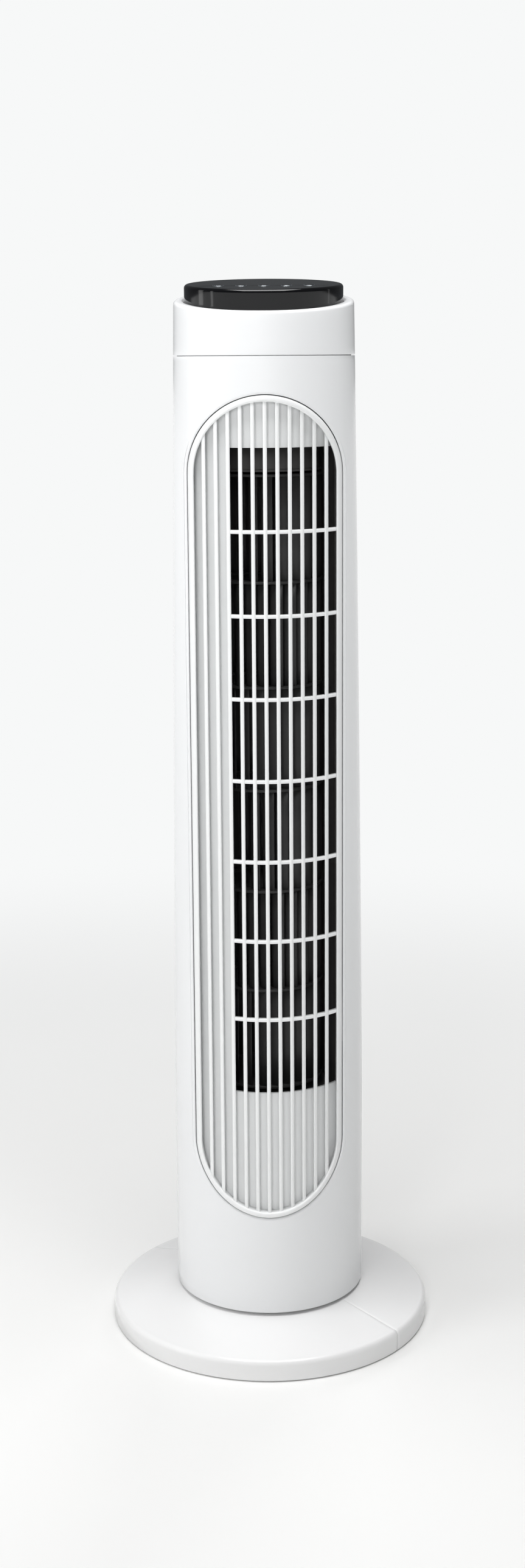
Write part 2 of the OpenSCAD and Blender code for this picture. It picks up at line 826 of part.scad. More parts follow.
module lower_deck() {
    post_z = motor_lug_z + motor_lug_t + grommet_t;
    color(black) difference() {
        union() {
            deck_plate(lower_deck_z);
            motor_post_places() translate([0, 0, post_z])
                cylinder(d = boss_d, h = lower_deck_z - post_z + 1);
        }
        at_impeller(lower_deck_z - cut) cylinder(r = impeller_hub_r + 2, h = deck_t + 2 * cut);
        motor_post_places() translate([0, 0, post_z - cut])
            cylinder(d = screw_pilot_d, h = 9, $fn = 24);
        deck_screw_places(lower_deck_z - cut) cylinder(d = screw_hole_d, h = 5, $fn = 24);
        translate([loom_at.x, loom_at.y, lower_deck_z - cut]) cylinder(d = loom_d + 1, h = 5, $fn = 24);
    }
}

module upper_deck() {
    color(black) difference() {
        union() {
            deck_plate(upper_deck_z);
            // cup that holds the top bush in its rubber boot
            at_impeller(top_bush_z - 2)
                cylinder(r = top_bush_r + boot_t + 2, h = upper_deck_z - top_bush_z + 3);
        }
        at_impeller(top_bush_z) cylinder(r = top_bush_r + boot_t, h = upper_deck_z - top_bush_z + 5);
        at_impeller(top_bush_z - 3) cylinder(r = stub_d / 2 + 1.5, h = 4);
        deck_screw_places(upper_deck_z - cut) cylinder(d = screw_hole_d, h = 5, $fn = 24);
        translate([loom_at.x, loom_at.y, upper_deck_z - cut]) cylinder(d = loom_d + 1, h = 5, $fn = 24);
    }
}

module deck_screws() {
    color(steel) for (z = [lower_deck_z, upper_deck_z]) deck_screw_places(z)
        translate([0, 0, deck_t]) rotate([180, 0, 0]) screw(deck_t + deck_lug_h - 1);
}

// Gap between the impeller and the scroll, growing from its start to its end
function scroll_r(a) =
    impeller_r + impeller_gap + scroll_growth * (scroll_from - a) / (scroll_from - scroll_to);

module scroll_wall() {
    angles = [for (a = [scroll_from:-scroll_step:scroll_to]) a];
    centre = [0, impeller_y];
    mouth_x = grille_in_r - gap;
    mouth_y = -42;
    color(black) intersection() {
        translate([0, 0, lower_deck_z + deck_t])
            linear_extrude(upper_deck_z - lower_deck_z - deck_t) polygon(concat(
                [for (a = angles) centre + polar(scroll_r(a), a)],
                [[mouth_x, mouth_y], [mouth_x + duct_wall, mouth_y]],
                [for (a = reversed(angles)) centre + polar(scroll_r(a) + duct_wall, a)]
            ));
        // behind the grille's backing, and up to its rim where the backing is open
        union() {
            column_inside(lower_deck_z, upper_deck_z + deck_t, duct_inset);
            column_inside(outlet_z0 + gap, outlet_z1 - gap, backing_inset);
        }
    }
}

// A straight wall of the duct from a to b, with round ends
module duct_leg(a, b) {
    translate([0, 0, lower_deck_z + deck_t]) linear_extrude(upper_deck_z - lower_deck_z - deck_t) {
        translate(a) rotate(atan2(b.y - a.y, b.x - a.x)) translate([0, -duct_wall / 2])
            square([norm(b - a), duct_wall]);
        translate(a) circle(d = duct_wall, $fn = 24);
        translate(b) circle(d = duct_wall, $fn = 24);
    }
}

module vortex_tongue() {
    near = impeller_r + impeller_gap;
    tip_x = outlet_x0 - 1.5;
    tip = [tip_x, impeller_y - sqrt(near * near - tip_x * tip_x)];
    heel = [-near * cos(tongue_heel_angle), impeller_y - near * sin(tongue_heel_angle)];
    knee = [1 - grille_r, heel.y + 6];
    color(black) {
        intersection() {
            duct_leg([outlet_x0 - duct_wall / 2 - 0.2, -column_d / 2], tip);
            column_inside(lower_deck_z, upper_deck_z + deck_t, duct_inset);
        }
        duct_leg(tip, heel);
        duct_leg(heel, knee);
        intersection() {
            duct_leg(knee, [-column_d / 2, knee.y]);
            column_inside(lower_deck_z, upper_deck_z + deck_t, shell_wall + gap);
        }
    }
}

// ---- motor ----

module motor_cup(top) {
    difference() {
        union() {
            cylinder(r = motor_r, h = (motor_h - stator_h) / 2);
            translate([0, 0, -bush_h + 2]) cylinder(r = bush_r + 2, h = bush_h);
            if (top) for (a = motor_lug_angles) rotate(a) {
                translate([motor_lug_r, 0, motor_z1 - motor_lug_z - motor_lug_t])
                    cylinder(r = grommet_r + 2, h = motor_lug_t);
                translate([motor_r - 2, -grommet_r - 2, motor_z1 - motor_lug_z - motor_lug_t])
                    cube([motor_lug_r - motor_r + 2, 2 * grommet_r + 4, motor_lug_t]);
            }
        }
        translate([0, 0, motor_wall]) cylinder(r = motor_r - motor_wall, h = motor_h);
        translate([0, 0, -bush_h + 1]) cylinder(r = bush_r + press, h = 2 * bush_h);
        translate([0, 0, -bush_h]) cylinder(r = shaft_d / 2 + 1, h = 2 * bush_h);
        if (top) for (a = motor_lug_angles) rotate(a) translate([motor_lug_r, 0, 0])
            cylinder(r = grommet_r + 0.1, h = motor_h);
        // cooling slots
        for (a = [0:30:330]) rotate(a + 15) translate([motor_r * 0.45, -1.8, -cut])
            cube([motor_r * 0.38, 3.6, motor_wall + 2 * cut]);
    }
}

module motor_upper_shell() {
    color(steel) at_impeller(motor_z1) mirror([0, 0, 1]) motor_cup(true);
}

module motor_lower_shell() {
    color(steel) at_impeller(motor_z0) motor_cup(false);
}

module motor_stator() {
    color("dimgray") at_impeller(motor_z0 + (motor_h - stator_h) / 2) difference() {
        cylinder(r = motor_r, h = stator_h);
        translate([0, 0, -cut]) cylinder(r = rotor_r + 0.4, h = stator_h + 2 * cut);
    }
}

module motor_windings() {
    coil_h = (motor_h - stator_h) / 2 - motor_wall - 4;
    color("#b5652b") at_impeller() for (z = [motor_z0 + motor_wall + 4, motor_z1 - motor_wall - 4 - coil_h])
        translate([0, 0, z]) tube(motor_r - motor_wall - 4, rotor_r + 3, coil_h);
}

module motor_bushes() {
    color("#a8793a") at_impeller() for (z = [motor_z0 - bush_h + 3, motor_z1 - 3])
        translate([0, 0, z]) tube(bush_r, shaft_d / 2 + run, bush_h);
}

module motor_grommets() {
    color(black) motor_post_places() translate([0, 0, motor_lug_z - grommet_t])
        rotate_extrude() polygon([
            [screw_d / 2 + 0.1, 0], [grommet_r + 2, 0], [grommet_r + 2, grommet_t],
            [grommet_r, grommet_t], [grommet_r, grommet_t + motor_lug_t],
            [grommet_r + 2, grommet_t + motor_lug_t], [grommet_r + 2, 2 * grommet_t + motor_lug_t],
            [screw_d / 2 + 0.1, 2 * grommet_t + motor_lug_t]
        ]);
}

module motor_screws() {
    color(steel) motor_post_places() translate([0, 0, motor_lug_z - grommet_t])
        screw(2 * grommet_t + motor_lug_t + 8);
}

module run_capacitor() {
    color("#26282b") translate([-19, impeller_y - motor_r - 19, lower_deck_z - 27]) {
        cube([38, 15, 27]);
        translate([38, 3, 20]) cube([8, 9, 7]);
    }
}

// Leads from the control board down to the motor, with a plug at each end
module wiring_loom() {
    color("dimgray") translate([loom_at.x, loom_at.y, 0]) {
        translate([0, 0, motor_z1 - 6]) cylinder(d = loom_d, h = seam_z + 12 - motor_z1 + 6, $fn = 24);
        translate([-5, -3.5, motor_z1 - 14]) cube([10, 7, 9]);
        translate([-5, -3.5, seam_z + 10]) cube([10, 7, 6]);
    }
}

module motor_shaft() {
    color(steel) at_impeller(motor_z0 - bush_h)
        cylinder(d = shaft_d, h = impeller_z0 + impeller_hub_h - 2 - motor_z0 + bush_h);
}

module motor_rotor() {
    color("gray") at_impeller(motor_z0 + (motor_h - stator_h) / 2 - 2)
        tube(rotor_r, shaft_d / 2 + press, stator_h + 4);
}

// ---- impeller ----

// Outline of one forward-curved blade, on +X
module blade_profile() {
    r1 = impeller_r - 0.6;
    r0 = r1 - blade_depth;
    steps = 3;
    function mid(k, side) =
        let (s = k / steps, r = r0 + (r1 - r0) * s, a = blade_lean / 2 * s * s)
        polar(r, a + side * blade_t / 2 / r * 180 / PI);
    polygon(concat(
        [for (k = [0:steps]) mid(k, 1)],
        [for (k = [steps:-1:0]) mid(k, -1)]
    ));
}

module impeller() {
    color(black) at_impeller() difference() {
        union() {
            for (i = [0:sections - 1]) translate([0, 0, impeller_z0 + i * section_pitch]) {
                if (i > 0) tube(impeller_r, impeller_r - blade_depth - 1.5, disc_t);
                translate([0, 0, disc_t - blade_bite])
                    linear_extrude(section_pitch - disc_t + 2 * blade_bite)
                    for (k = [0:blades - 1]) rotate(k * 360 / blades + i * section_twist)
                        blade_profile();
            }
            translate([0, 0, impeller_z0]) cylinder(r = impeller_r, h = disc_t);
            translate([0, 0, impeller_z1 - disc_t]) cylinder(r = impeller_r, h = disc_t);
            translate([0, 0, impeller_z0]) cylinder(r = impeller_hub_r, h = impeller_hub_h);
            translate([0, 0, impeller_z1 - 12]) cylinder(r = stub_d / 2 + 4, h = 12);
        }
        translate([0, 0, impeller_z0 - cut])
            cylinder(r = shaft_d / 2 + press, h = impeller_hub_h - 2 + cut);
        translate([0, 0, impeller_z1 - 10]) cylinder(d = stub_d + 2 * press, h = 11);
        translate([0, 0, impeller_z0 + impeller_hub_h / 2]) rotate([0, 90, 0])
            cylinder(d = screw_pilot_d, h = impeller_hub_r + 1, $fn = 24);
    }
}

module hub_grub_screw() {
    color(steel) at_impeller(impeller_z0 + impeller_hub_h / 2) rotate([0, 90, 0])
        translate([0, 0, shaft_d / 2 + 0.05])
            cylinder(d = screw_d, h = impeller_hub_r - shaft_d / 2 - 0.5, $fn = 24);
}

module top_stub_shaft() {
    color(steel) at_impeller(impeller_z1 - 10)
        cylinder(d = stub_d, h = top_bush_z + top_bush_h - impeller_z1 + 10.5);
}

module top_bush() {
    color("#a8793a") at_impeller(top_bush_z) tube(top_bush_r, stub_d / 2 + run, top_bush_h);
}

module top_bush_boot() {
    color(black) at_impeller(top_bush_z)
        tube(top_bush_r + boot_t - press, top_bush_r + press, top_bush_h + 1);
}

// ---- top ring, cap and keys ----

// Space above a plane that leans to the front by angle and passes the axis at height z
module above_plane(z, angle) {
    translate([0, 0, z]) rotate([angle, 0, 0]) translate([-column_d, -column_d, 0])
        cube([2 * column_d, 2 * column_d, column_d]);
}

module ring_outline() {
    top = ring_side_z + column_d / 2 * tan(ring_tilt);
    zs = [seam_z + 0.4, (seam_z + top) / 2, top];
    polygon(concat(
        [[cap_r - ledge_w, seam_z + 0.4]],
        [for (z = zs) [column_r(z), z]],
        [[cap_r - ledge_w, top]]
    ));
}

module top_ring() {
    color(white) difference() {
        rotate_extrude() ring_outline();
        above_plane(ring_side_z, ring_tilt);
        // pocket of the cap, down to the ledge that carries it
        at_cap() translate([0, 0, -cap_h]) cylinder(r = cap_r + gap, h = 2 * cap_h);
        // hollow below the ledge
        intersection() {
            translate([0, 0, seam_z - 1]) cylinder(r = column_r(ring_side_z) - shell_wall, h = column_d);
            at_cap() translate([0, 0, -cap_h - ring_ledge_t]) mirror([0, 0, 1])
                cylinder(r = column_d, h = column_d);
            ring_hollow();
        }
        ring_screw_places(seam_z - cut) cylinder(d = screw_pilot_d, h = 9, $fn = 24);
        cap_screw_places() translate([0, 0, -cap_h - 10])
            cylinder(d = screw_hole_d, h = 20, $fn = 24);
    }
}

// The hollow leaves the bosses that the ring's screws bite into
module ring_hollow() {
    difference() {
        translate([0, 0, seam_z - 1]) cylinder(r = column_d, h = column_d);
        ring_screw_places(seam_z - 2) {
            cylinder(d = boss_d, h = 14);
            translate([0, -2, 0]) cube([flange_w, 4, 14]);
        }
    }
}

module ring_screws() {
    color(steel) ring_screw_places(seam_z - flange_t) screw(flange_t + 7);
}

module cap_screw_places() {
    at_cap() for (a = cap_post_angles) rotate(a) translate([cap_post_r, 0, 0]) children();
}

// The posts stop short of the rim, so the rim alone rests on the ring's ledge
module control_cap() {
    color(black) difference() {
        at_cap() union() {
            cap_shell();
            for (a = cap_post_angles) rotate(a) translate([cap_post_r, 0, gap - cap_h])
                cylinder(d = boss_d, h = cap_h - gap - cap_wall / 2);
        }
        at_cap() for (a = cap_post_angles) rotate(a) translate([cap_post_r, 0, -cap_h - cut])
            cylinder(d = screw_pilot_d, h = cap_pilot_h, $fn = 24);
        at_cap() for (i = [1:keys_n]) translate([key_x(i), -key_row_y, -cap_wall - cut])
            cylinder(d = key_d + 2 * gap, h = 2 * cap_wall, $fn = 48);
    }
}

module cap_shell() {
    difference() {
        rotate_extrude() {
            polygon([
                [0, 0], [cap_r - cap_edge_r, 0], [cap_r, -cap_edge_r], [cap_r, -cap_h], [0, -cap_h]
            ]);
            translate([cap_r - cap_edge_r, -cap_edge_r]) circle(cap_edge_r);
        }
        translate([0, 0, -cap_h - cut]) cylinder(r = cap_r - cap_wall, h = cap_h + cut - cap_wall);
    }
}

module cap_screws() {
    color(steel) cap_screw_places() translate([0, 0, -cap_h - ring_ledge_t]) screw(ring_ledge_t + 8);
}

module control_board() {
    color("darkgreen") at_cap() difference() {
        translate([0, 0, -board_drop - board_t]) cylinder(r = board_r - 1, h = board_t);
        for (a = cap_post_angles) rotate(a) translate([cap_post_r, 0, -cap_h])
            cylinder(d = boss_d + 1, h = cap_h);
    }
}

function key_x(i) = (i - (keys_n + 1) / 2) * key_pitch;

module key_switches() {
    color("gray") at_cap() for (i = [1:keys_n]) translate([key_x(i), -key_row_y, -board_drop]) {
        translate([-3, -3, 0]) cube([6, 6, switch_h - 1]);
        cylinder(d = 3.4, h = switch_h, $fn = 32);
    }
}

module indicator_leds() {
    color("lightgray") at_cap() for (i = [1:keys_n])
        translate([key_x(i), -key_row_y - key_flange_d / 2 - 2.2, -board_drop])
        cylinder(d = 2.4, h = board_drop - cap_wall - gap, $fn = 32);
}

module key(i) {
    color(black) at_cap() translate([key_x(i), -key_row_y, 0]) {
        translate([0, 0, -cap_wall - gap]) cylinder(d = key_d, h = cap_wall + gap + key_proud, $fn = 48);
        translate([0, 0, -cap_wall - gap - key_flange_t])
            cylinder(d = key_flange_d, h = key_flange_t, $fn = 48);
    }
}

// ---- nodes ----

base_front_half();
base_rear_half();
base_screws();
rubber_feet();
pedestal();
glide_ring();
thrust_washer();
fixed_gear();
fixed_gear_screws();
cord_grommet();
turntable();
turntable_screws();
osc_motor();
osc_motor_screws();
osc_shaft();
osc_pinion();
front_shell();
rear_shell();
shell_screws();
front_grille();
grille_backing();
lower_deck();
upper_deck();
deck_screws();
scroll_wall();
vortex_tongue();
motor_upper_shell();
motor_lower_shell();
motor_stator();
motor_windings();
motor_bushes();
motor_grommets();
motor_screws();
run_capacitor();
wiring_loom();
motor_shaft();
motor_rotor();
impeller();
hub_grub_screw();
top_stub_shaft();
top_bush();
top_bush_boot();
top_ring();
ring_screws();
control_cap();
cap_screws();
control_board();
key_switches();
indicator_leds();
for (i = [1:keys_n]) key(i);
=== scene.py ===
"""Builds the shells, grille, cap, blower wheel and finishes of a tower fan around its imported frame."""

import json
import math

import bmesh
import bpy
from bpy.props import FloatProperty, FloatVectorProperty, IntProperty, PointerProperty
from mathutils import Matrix, Vector
from mathutils.geometry import tessellate_polygon


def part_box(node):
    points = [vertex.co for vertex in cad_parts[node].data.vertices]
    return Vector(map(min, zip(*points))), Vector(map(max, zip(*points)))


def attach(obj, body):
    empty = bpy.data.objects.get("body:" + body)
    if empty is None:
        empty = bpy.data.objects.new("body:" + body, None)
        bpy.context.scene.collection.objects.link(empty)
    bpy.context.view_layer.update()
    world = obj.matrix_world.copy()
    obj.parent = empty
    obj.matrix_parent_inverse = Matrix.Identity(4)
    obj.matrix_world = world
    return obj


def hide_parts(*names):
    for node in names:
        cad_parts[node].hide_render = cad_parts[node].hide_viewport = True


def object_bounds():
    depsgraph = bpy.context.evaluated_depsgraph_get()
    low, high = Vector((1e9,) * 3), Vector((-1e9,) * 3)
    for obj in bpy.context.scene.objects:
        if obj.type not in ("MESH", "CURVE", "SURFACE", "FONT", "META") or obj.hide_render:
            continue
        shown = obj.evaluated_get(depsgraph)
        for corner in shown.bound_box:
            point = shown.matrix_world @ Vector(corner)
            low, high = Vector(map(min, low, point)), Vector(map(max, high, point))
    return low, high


bl_info = {
    "name": "Tower Fan Looks",
    "version": (1, 0, 0),
    "blender": (4, 5, 0),
    "location": "3D View > Sidebar > Tower Fan",
    "description": "Shells, grille, cap, blower wheel and finishes of a tower fan",
    "category": "Object",
}

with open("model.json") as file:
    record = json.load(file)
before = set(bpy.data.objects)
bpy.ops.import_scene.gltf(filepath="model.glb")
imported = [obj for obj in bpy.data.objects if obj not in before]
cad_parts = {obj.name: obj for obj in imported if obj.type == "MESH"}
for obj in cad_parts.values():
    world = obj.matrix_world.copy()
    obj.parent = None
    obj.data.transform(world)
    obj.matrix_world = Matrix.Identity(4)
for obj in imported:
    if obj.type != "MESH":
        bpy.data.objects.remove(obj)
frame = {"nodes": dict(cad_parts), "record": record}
CAD_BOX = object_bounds()

MM = 0.001
# distance at which points are merged, and thickness of the upper deck's plate
WELD = 2e-6
DECK_PLATE = 3 * MM
SKIN_LOW, SKIN_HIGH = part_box("front_shell")
BASE_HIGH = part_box("base_front_half")[1]
WHEEL_LOW, WHEEL_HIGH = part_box("impeller")
DECK_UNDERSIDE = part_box("upper_deck")[1].z - DECK_PLATE


def linear(colour, alpha=1.0):
    """Linear colour of an sRGB hex value"""
    parts = [int(colour[i:i + 2], 16) / 255 for i in (1, 3, 5)]
    return tuple(c / 12.92 if c <= 0.04045 else ((c + 0.055) / 1.055) ** 2.4 for c in parts) + (alpha,)


def length(name, description, default):
    """Property for a size in metres"""
    return FloatProperty(name=name, description=description, default=default, unit="LENGTH", precision=5)


def angle(name, description, degrees):
    """Property for an angle, given in degrees"""
    return FloatProperty(name=name, description=description, default=math.radians(degrees), subtype="ANGLE")


def count(name, description, default):
    """Property for a number of like things"""
    return IntProperty(name=name, description=description, default=default, min=1)


def colour(name, description, default):
    """Property for a colour, given as its sRGB hex value"""
    return FloatVectorProperty(
        name=name, description=description, default=linear(default), size=4, subtype="COLOR", min=0, max=1)


# ---- sizes and colours ----


class BaseSizes(bpy.types.PropertyGroup):
    radius: length("Radius", "Outer radius of the base", (CAD_BOX[1].x - CAD_BOX[0].x) / 2)
    rim_height: length("Rim height", "Height of the base at its edge", 17 * MM)
    crown_height: length("Crown height", "Height of the base beside the pedestal", BASE_HIGH.z)
    crown_radius: length("Crown radius", "Inner radius of the base's top", 68.3 * MM)
    edge_radius: length("Edge radius", "Rounding of the top edge", 4 * MM)
    wall: length("Wall", "Wall of the two halves", 2.5 * MM)
    stand: length("Stand", "Gap between the rim and the floor", 1 * MM)
    split: length("Split", "Half of the gap between the two halves", 0.1 * MM)
    split_edge: length("Split edge", "Rounding of the edges along the split", 0.25 * MM)
    turn: angle("Turn", "Angle of the base's front from the column's front", -38.3)
    ledge_low: length("Ledge underside", "Underside of the ledge that holds the pedestal", 21.6 * MM)
    ledge_radius: length("Ledge radius", "Inner radius of that ledge", 50.3 * MM)
    pedestal_low: length("Pedestal underside", "Height of the pedestal's underside", 24.6 * MM)
    grommet_height: length("Grommet height", "Height of the cord grommet's middle", 7.7 * MM)
    grommet_radius: length("Grommet radius", "Radius of the hole for the cord grommet", 4.9 * MM)
    feet: count("Feet", "Number of rubber feet", 8)
    feet_radius: length("Feet circle", "Radius of the circle of feet", 105 * MM)
    foot_radius: length("Foot radius", "Radius of one rubber foot", 8 * MM)
    socket_floor: length("Socket end", "Height of the inner end of a foot's socket", 3.2 * MM)
    socket_wall: length("Socket wall", "Wall of a foot's socket", 2 * MM)
    rib: length("Rib", "Thickness of the ribs between the feet", 2 * MM)
    bite: length("Bite", "How far the sockets and ribs end under the top's skin", 1.2 * MM)


class ColumnSizes(bpy.types.PropertyGroup):
    foot_radius: length("Foot radius", "Radius of the column at its foot", -SKIN_LOW.y)
    seam_radius: length("Seam radius", "Radius of the column under the top ring", 66.5 * MM)
    taper_z: length("Taper start", "Height where the column starts to narrow", 200 * MM)
    bow: FloatProperty(name="Bow", description="Share of the taper that follows a parabola", default=0.27)
    foot_z: length("Foot height", "Height of the column's foot", SKIN_LOW.z)
    seam_z: length("Seam height", "Height of the seam under the top ring", SKIN_HIGH.z)
    wall: length("Wall", "Wall of the two shells", 2.5 * MM)
    split: angle("Split", "Half of the split line between the two shells", 0.1)
    edge: length("Edge", "Rounding of the shells' edges", 0.5 * MM)


class GrilleSizes(bpy.types.PropertyGroup):
    radius: length("Half width", "Half width of the oval rim", 55.9 * MM)
    rim: length("Rim width", "Width of the rim", 4.5 * MM)
    rim_inner_round: length("Rim inner round", "Rounding of the rim's inner edge", 1.7 * MM)
    rim_outer_round: length("Rim outer round", "Rounding of the rim's outer edge", 2.1 * MM)
    proud: length("Rim height", "How far the rim stands out of the column", 0.8 * MM)
    groove: length("Groove", "Gap between the rim and the front shell", 0.55 * MM)
    roll: length("Roll", "Width of the rolled edge of the front shell's opening", 1.8 * MM)
    top_z: length("Upper centre", "Height of the centre of the upper half circle", 669.1 * MM)
    low_z: length("Lower centre", "Height of the centre of the lower half circle", 164.5 * MM)
    slats: count("Slats", "Number of upright slats", 11)
    slat_width: length("Slat width", "Thickness of one slat", 2.9 * MM)
    slat_depth: length("Slat depth", "Depth of one slat", 6 * MM)
    slat_round: length("Slat round", "Rounding of a slat's front edges", 1.1 * MM)
    slat_inset: length("Slat inset", "How far the slats lie under the column's skin", 0.6 * MM)
    slat_pitch: length("Slat pitch", "Distance from slat to slat", 8.808 * MM)
    ribs: count("Ribs", "Number of cross ribs", 7)
    rib_height: length("Rib height", "Height of one cross rib", 2.7 * MM)
    rib_round: length("Rib round", "Rounding of a cross rib's front edges", 0.8 * MM)
    rib_inset: length("Rib inset", "How far the ribs lie under the column's skin", 1 * MM)
    rib_depth: length("Rib depth", "Depth of one cross rib", 3 * MM)
    cell: length("Cell height", "Height of one cell between two ribs", 57.8 * MM)
    outlet_z: length("Outlet height", "Height of the outlet's lower edge", 206.9 * MM)
    outlet_x: length("Outlet side", "Place of the outlet's closed side", -24.97 * MM)


class BackSizes(bpy.types.PropertyGroup):
    columns: count("Slot columns", "Columns of intake slots", 21)
    tiers: count("Slot tiers", "Tiers of intake slots", 8)
    spread: angle("Spread", "Half of the angle over which the slot columns spread", 62)
    slot_width: length("Slot width", "Width of one intake slot", 3.4 * MM)
    slot_margin: length("Slot margin", "Distance of a slot's end from the end of its cell", 3 * MM)
    edge: length("Edge", "Rounding of the rear shell's edges", 0.4 * MM)
    grip_width: length("Grip width", "Width of the hand grip's recess", 84 * MM)
    grip_height: length("Grip height", "Height of the hand grip's recess", 27 * MM)
    grip_z: length("Grip place", "Height of the recess's lower edge", 702.2 * MM)
    grip_floor: length("Grip floor", "Distance of the recess's floor from the column's axis", 45.8 * MM)
    grip_corner: length("Grip corner", "Rounding of the recess's corners", 6 * MM)
    grip_curve: length("Grip curve", "Rounding between the recess's walls and its floor", 4 * MM)
    grip_draft: length("Grip draft", "How far the recess's walls lean in", 0.6 * MM)
    screw_inset: length("Screw inset", "Distance of the shell screws from the column's side", 11 * MM)
    screw_hole: length("Screw hole", "Radius of the holes that sink the shell screws", 3.3 * MM)
    screw_seat: length("Screw seat", "Distance of the screws' seats from the split line", 6 * MM)
    sleeve_wall: length("Sleeve wall", "Wall of the sleeves that line those holes", 1.7 * MM)


class TopSizes(bpy.types.PropertyGroup):
    ring_side_z: length("Ring height", "Height of the ring's top edge at the column's side", 792 * MM)
    ring_tilt: angle("Ring slope", "Slope of the ring's top edge", 7.7)
    seam_edge: length("Seam edge", "Rounding of the ring's lower edge at the seam", 0.5 * MM)
    ring_gap: length("Ring seam", "Gap between the ring and the column", 0.5 * MM)
    spigot: length("Spigot", "How far the ring's collar reaches into the shells under the seam", 4 * MM)
    lip: length("Lip", "Rounding of the ring's outer lip", 2.6 * MM)
    cap_radius: length("Cap radius", "Radius of the black cap", 58 * MM)
    cap_z: length("Cap height", "Height of the middle of the cap's top", 803.2 * MM)
    cap_tilt: angle("Cap slope", "Slope of the cap's top", 5.7)
    cap_depth: length("Cap depth", "Height of the cap's side", 25 * MM)
    cap_edge: length("Cap edge", "Rounding of the cap's top edge", 2.5 * MM)
    cap_wall: length("Cap wall", "Wall of the cap", 2 * MM)
    ledge: length("Ledge", "Width of the ledge that carries the cap", 8 * MM)
    ledge_wall: length("Ledge wall", "Thickness of that ledge", 2.5 * MM)
    gap: length("Gap", "Gap between the cap and the ring", 0.3 * MM)
    keys: count("Keys", "Number of keys", 5)
    key_radius: length("Key radius", "Radius of one key", 3.3 * MM)
    key_pitch: length("Key pitch", "Distance from key to key", 16.3 * MM)
    key_row: length("Key row", "Distance of the row of keys in front of the cap's middle", 18.6 * MM)
    key_ring: length("Key ring", "Width of the bright ring round a key", 0.5 * MM)
    key_proud: length("Key height", "How far a key stands out of the cap", 0.5 * MM)
    key_flange: length("Key flange", "Radius of the flange that keeps a key in", 4.8 * MM)


class WheelSizes(bpy.types.PropertyGroup):
    radius: length("Radius", "Radius of the blower wheel", (WHEEL_HIGH.x - WHEEL_LOW.x) / 2)
    axis_y: length(
        "Axis", "How far the wheel's axis lies behind the column's", (WHEEL_HIGH.y + WHEEL_LOW.y) / 2)
    low_z: length("Foot", "Height of the wheel's lower end", WHEEL_LOW.z)
    high_z: length("Top", "Height of the wheel's upper end", WHEEL_HIGH.z)
    sections: count("Sections", "Number of blade rings, one above another", 6)
    blades: count("Blades", "Number of blades in one ring", 24)
    disc: length("Disc", "Thickness of the discs", 2 * MM)
    blade_depth: length("Blade depth", "Depth of one blade", 9 * MM)
    blade_wall: length("Blade wall", "Thickness of one blade", 1.1 * MM)
    lean: angle("Lean", "Angle by which a blade's outer edge leads its root", 24)
    twist: angle("Twist", "Turn from one blade ring to the next", 5)
    hub: length("Hub radius", "Radius of the lower hub", 10 * MM)
    hub_height: length("Hub height", "Height of the lower hub", 18 * MM)
    skirt: length("Skirt radius", "Radius of the skirt that closes the duct above the wheel", 40.5 * MM)
    skirt_gap: length("Skirt gap", "Gap between that skirt and the wheel", 1.5 * MM)
    shaft: length("Shaft radius", "Radius of the hole for the motor's shaft", 4.02 * MM)
    stub: length("Stub radius", "Radius of the hole for the upper stub shaft", 3.02 * MM)


class FanColours(bpy.types.PropertyGroup):
    shell: colour("Shell", "Column's white plastic", "#F3F4F5")
    base: colour("Base", "Base's white plastic", "#F4F4F4")
    grille: colour("Grille", "Grille's white plastic", "#F6F7F7")
    inner_white: colour("Inner white", "White plastic inside", "#F8F8F8")
    cap: colour("Cap", "Cap's black plastic", "#0B0B0D")
    key: colour("Keys", "Keys' black plastic", "#131316")
    # the duct's black plastic is painted grey: painted light inside the duct
    duct: colour("Duct", "Duct's black plastic", "#6A6968")
    # the wheel's black plastic is painted dark grey: painted light inside the duct
    wheel: colour("Wheel", "Wheel's black plastic", "#484848")
    rubber: colour("Rubber", "Feet and grommets", "#151516")
    acetal: colour("Acetal", "Bearings and gears", "#E6E4DB")


class FanLooks(bpy.types.PropertyGroup):
    base: PointerProperty(type=BaseSizes)
    column: PointerProperty(type=ColumnSizes)
    grille: PointerProperty(type=GrilleSizes)
    back: PointerProperty(type=BackSizes)
    top: PointerProperty(type=TopSizes)
    wheel: PointerProperty(type=WheelSizes)
    colours: PointerProperty(type=FanColours)


def looks():
    """The fan's sizes and colours in this scene"""
    return bpy.context.scene.tower_fan


# ---- nodes ----


def add(tree, kind, sockets=None, **settings):
    """One node with its settings, and with a value or a link for each of its sockets"""
    node = tree.nodes.new(kind)
    for key, value in settings.items():
        setattr(node, key, value)
    for socket, value in (sockets or {}).items():
        if isinstance(value, bpy.types.NodeSocket):
            tree.links.new(value, node.inputs[socket])
        else:
            node.inputs[socket].default_value = value
    return node


def new_material(name):
    """An empty material, its node tree and the object's own coordinates in metres"""
    material = bpy.data.materials.new(name)
    material.use_nodes = True
    tree = material.node_tree
    tree.nodes.clear()
    place = add(tree, "ShaderNodeTexCoord").outputs["Object"]
    return material, tree, place


def shade(value, factor):
    """A colour darkened by a factor, and opaque"""
    return tuple(c * factor for c in tuple(value)[:3]) + (1.0,)


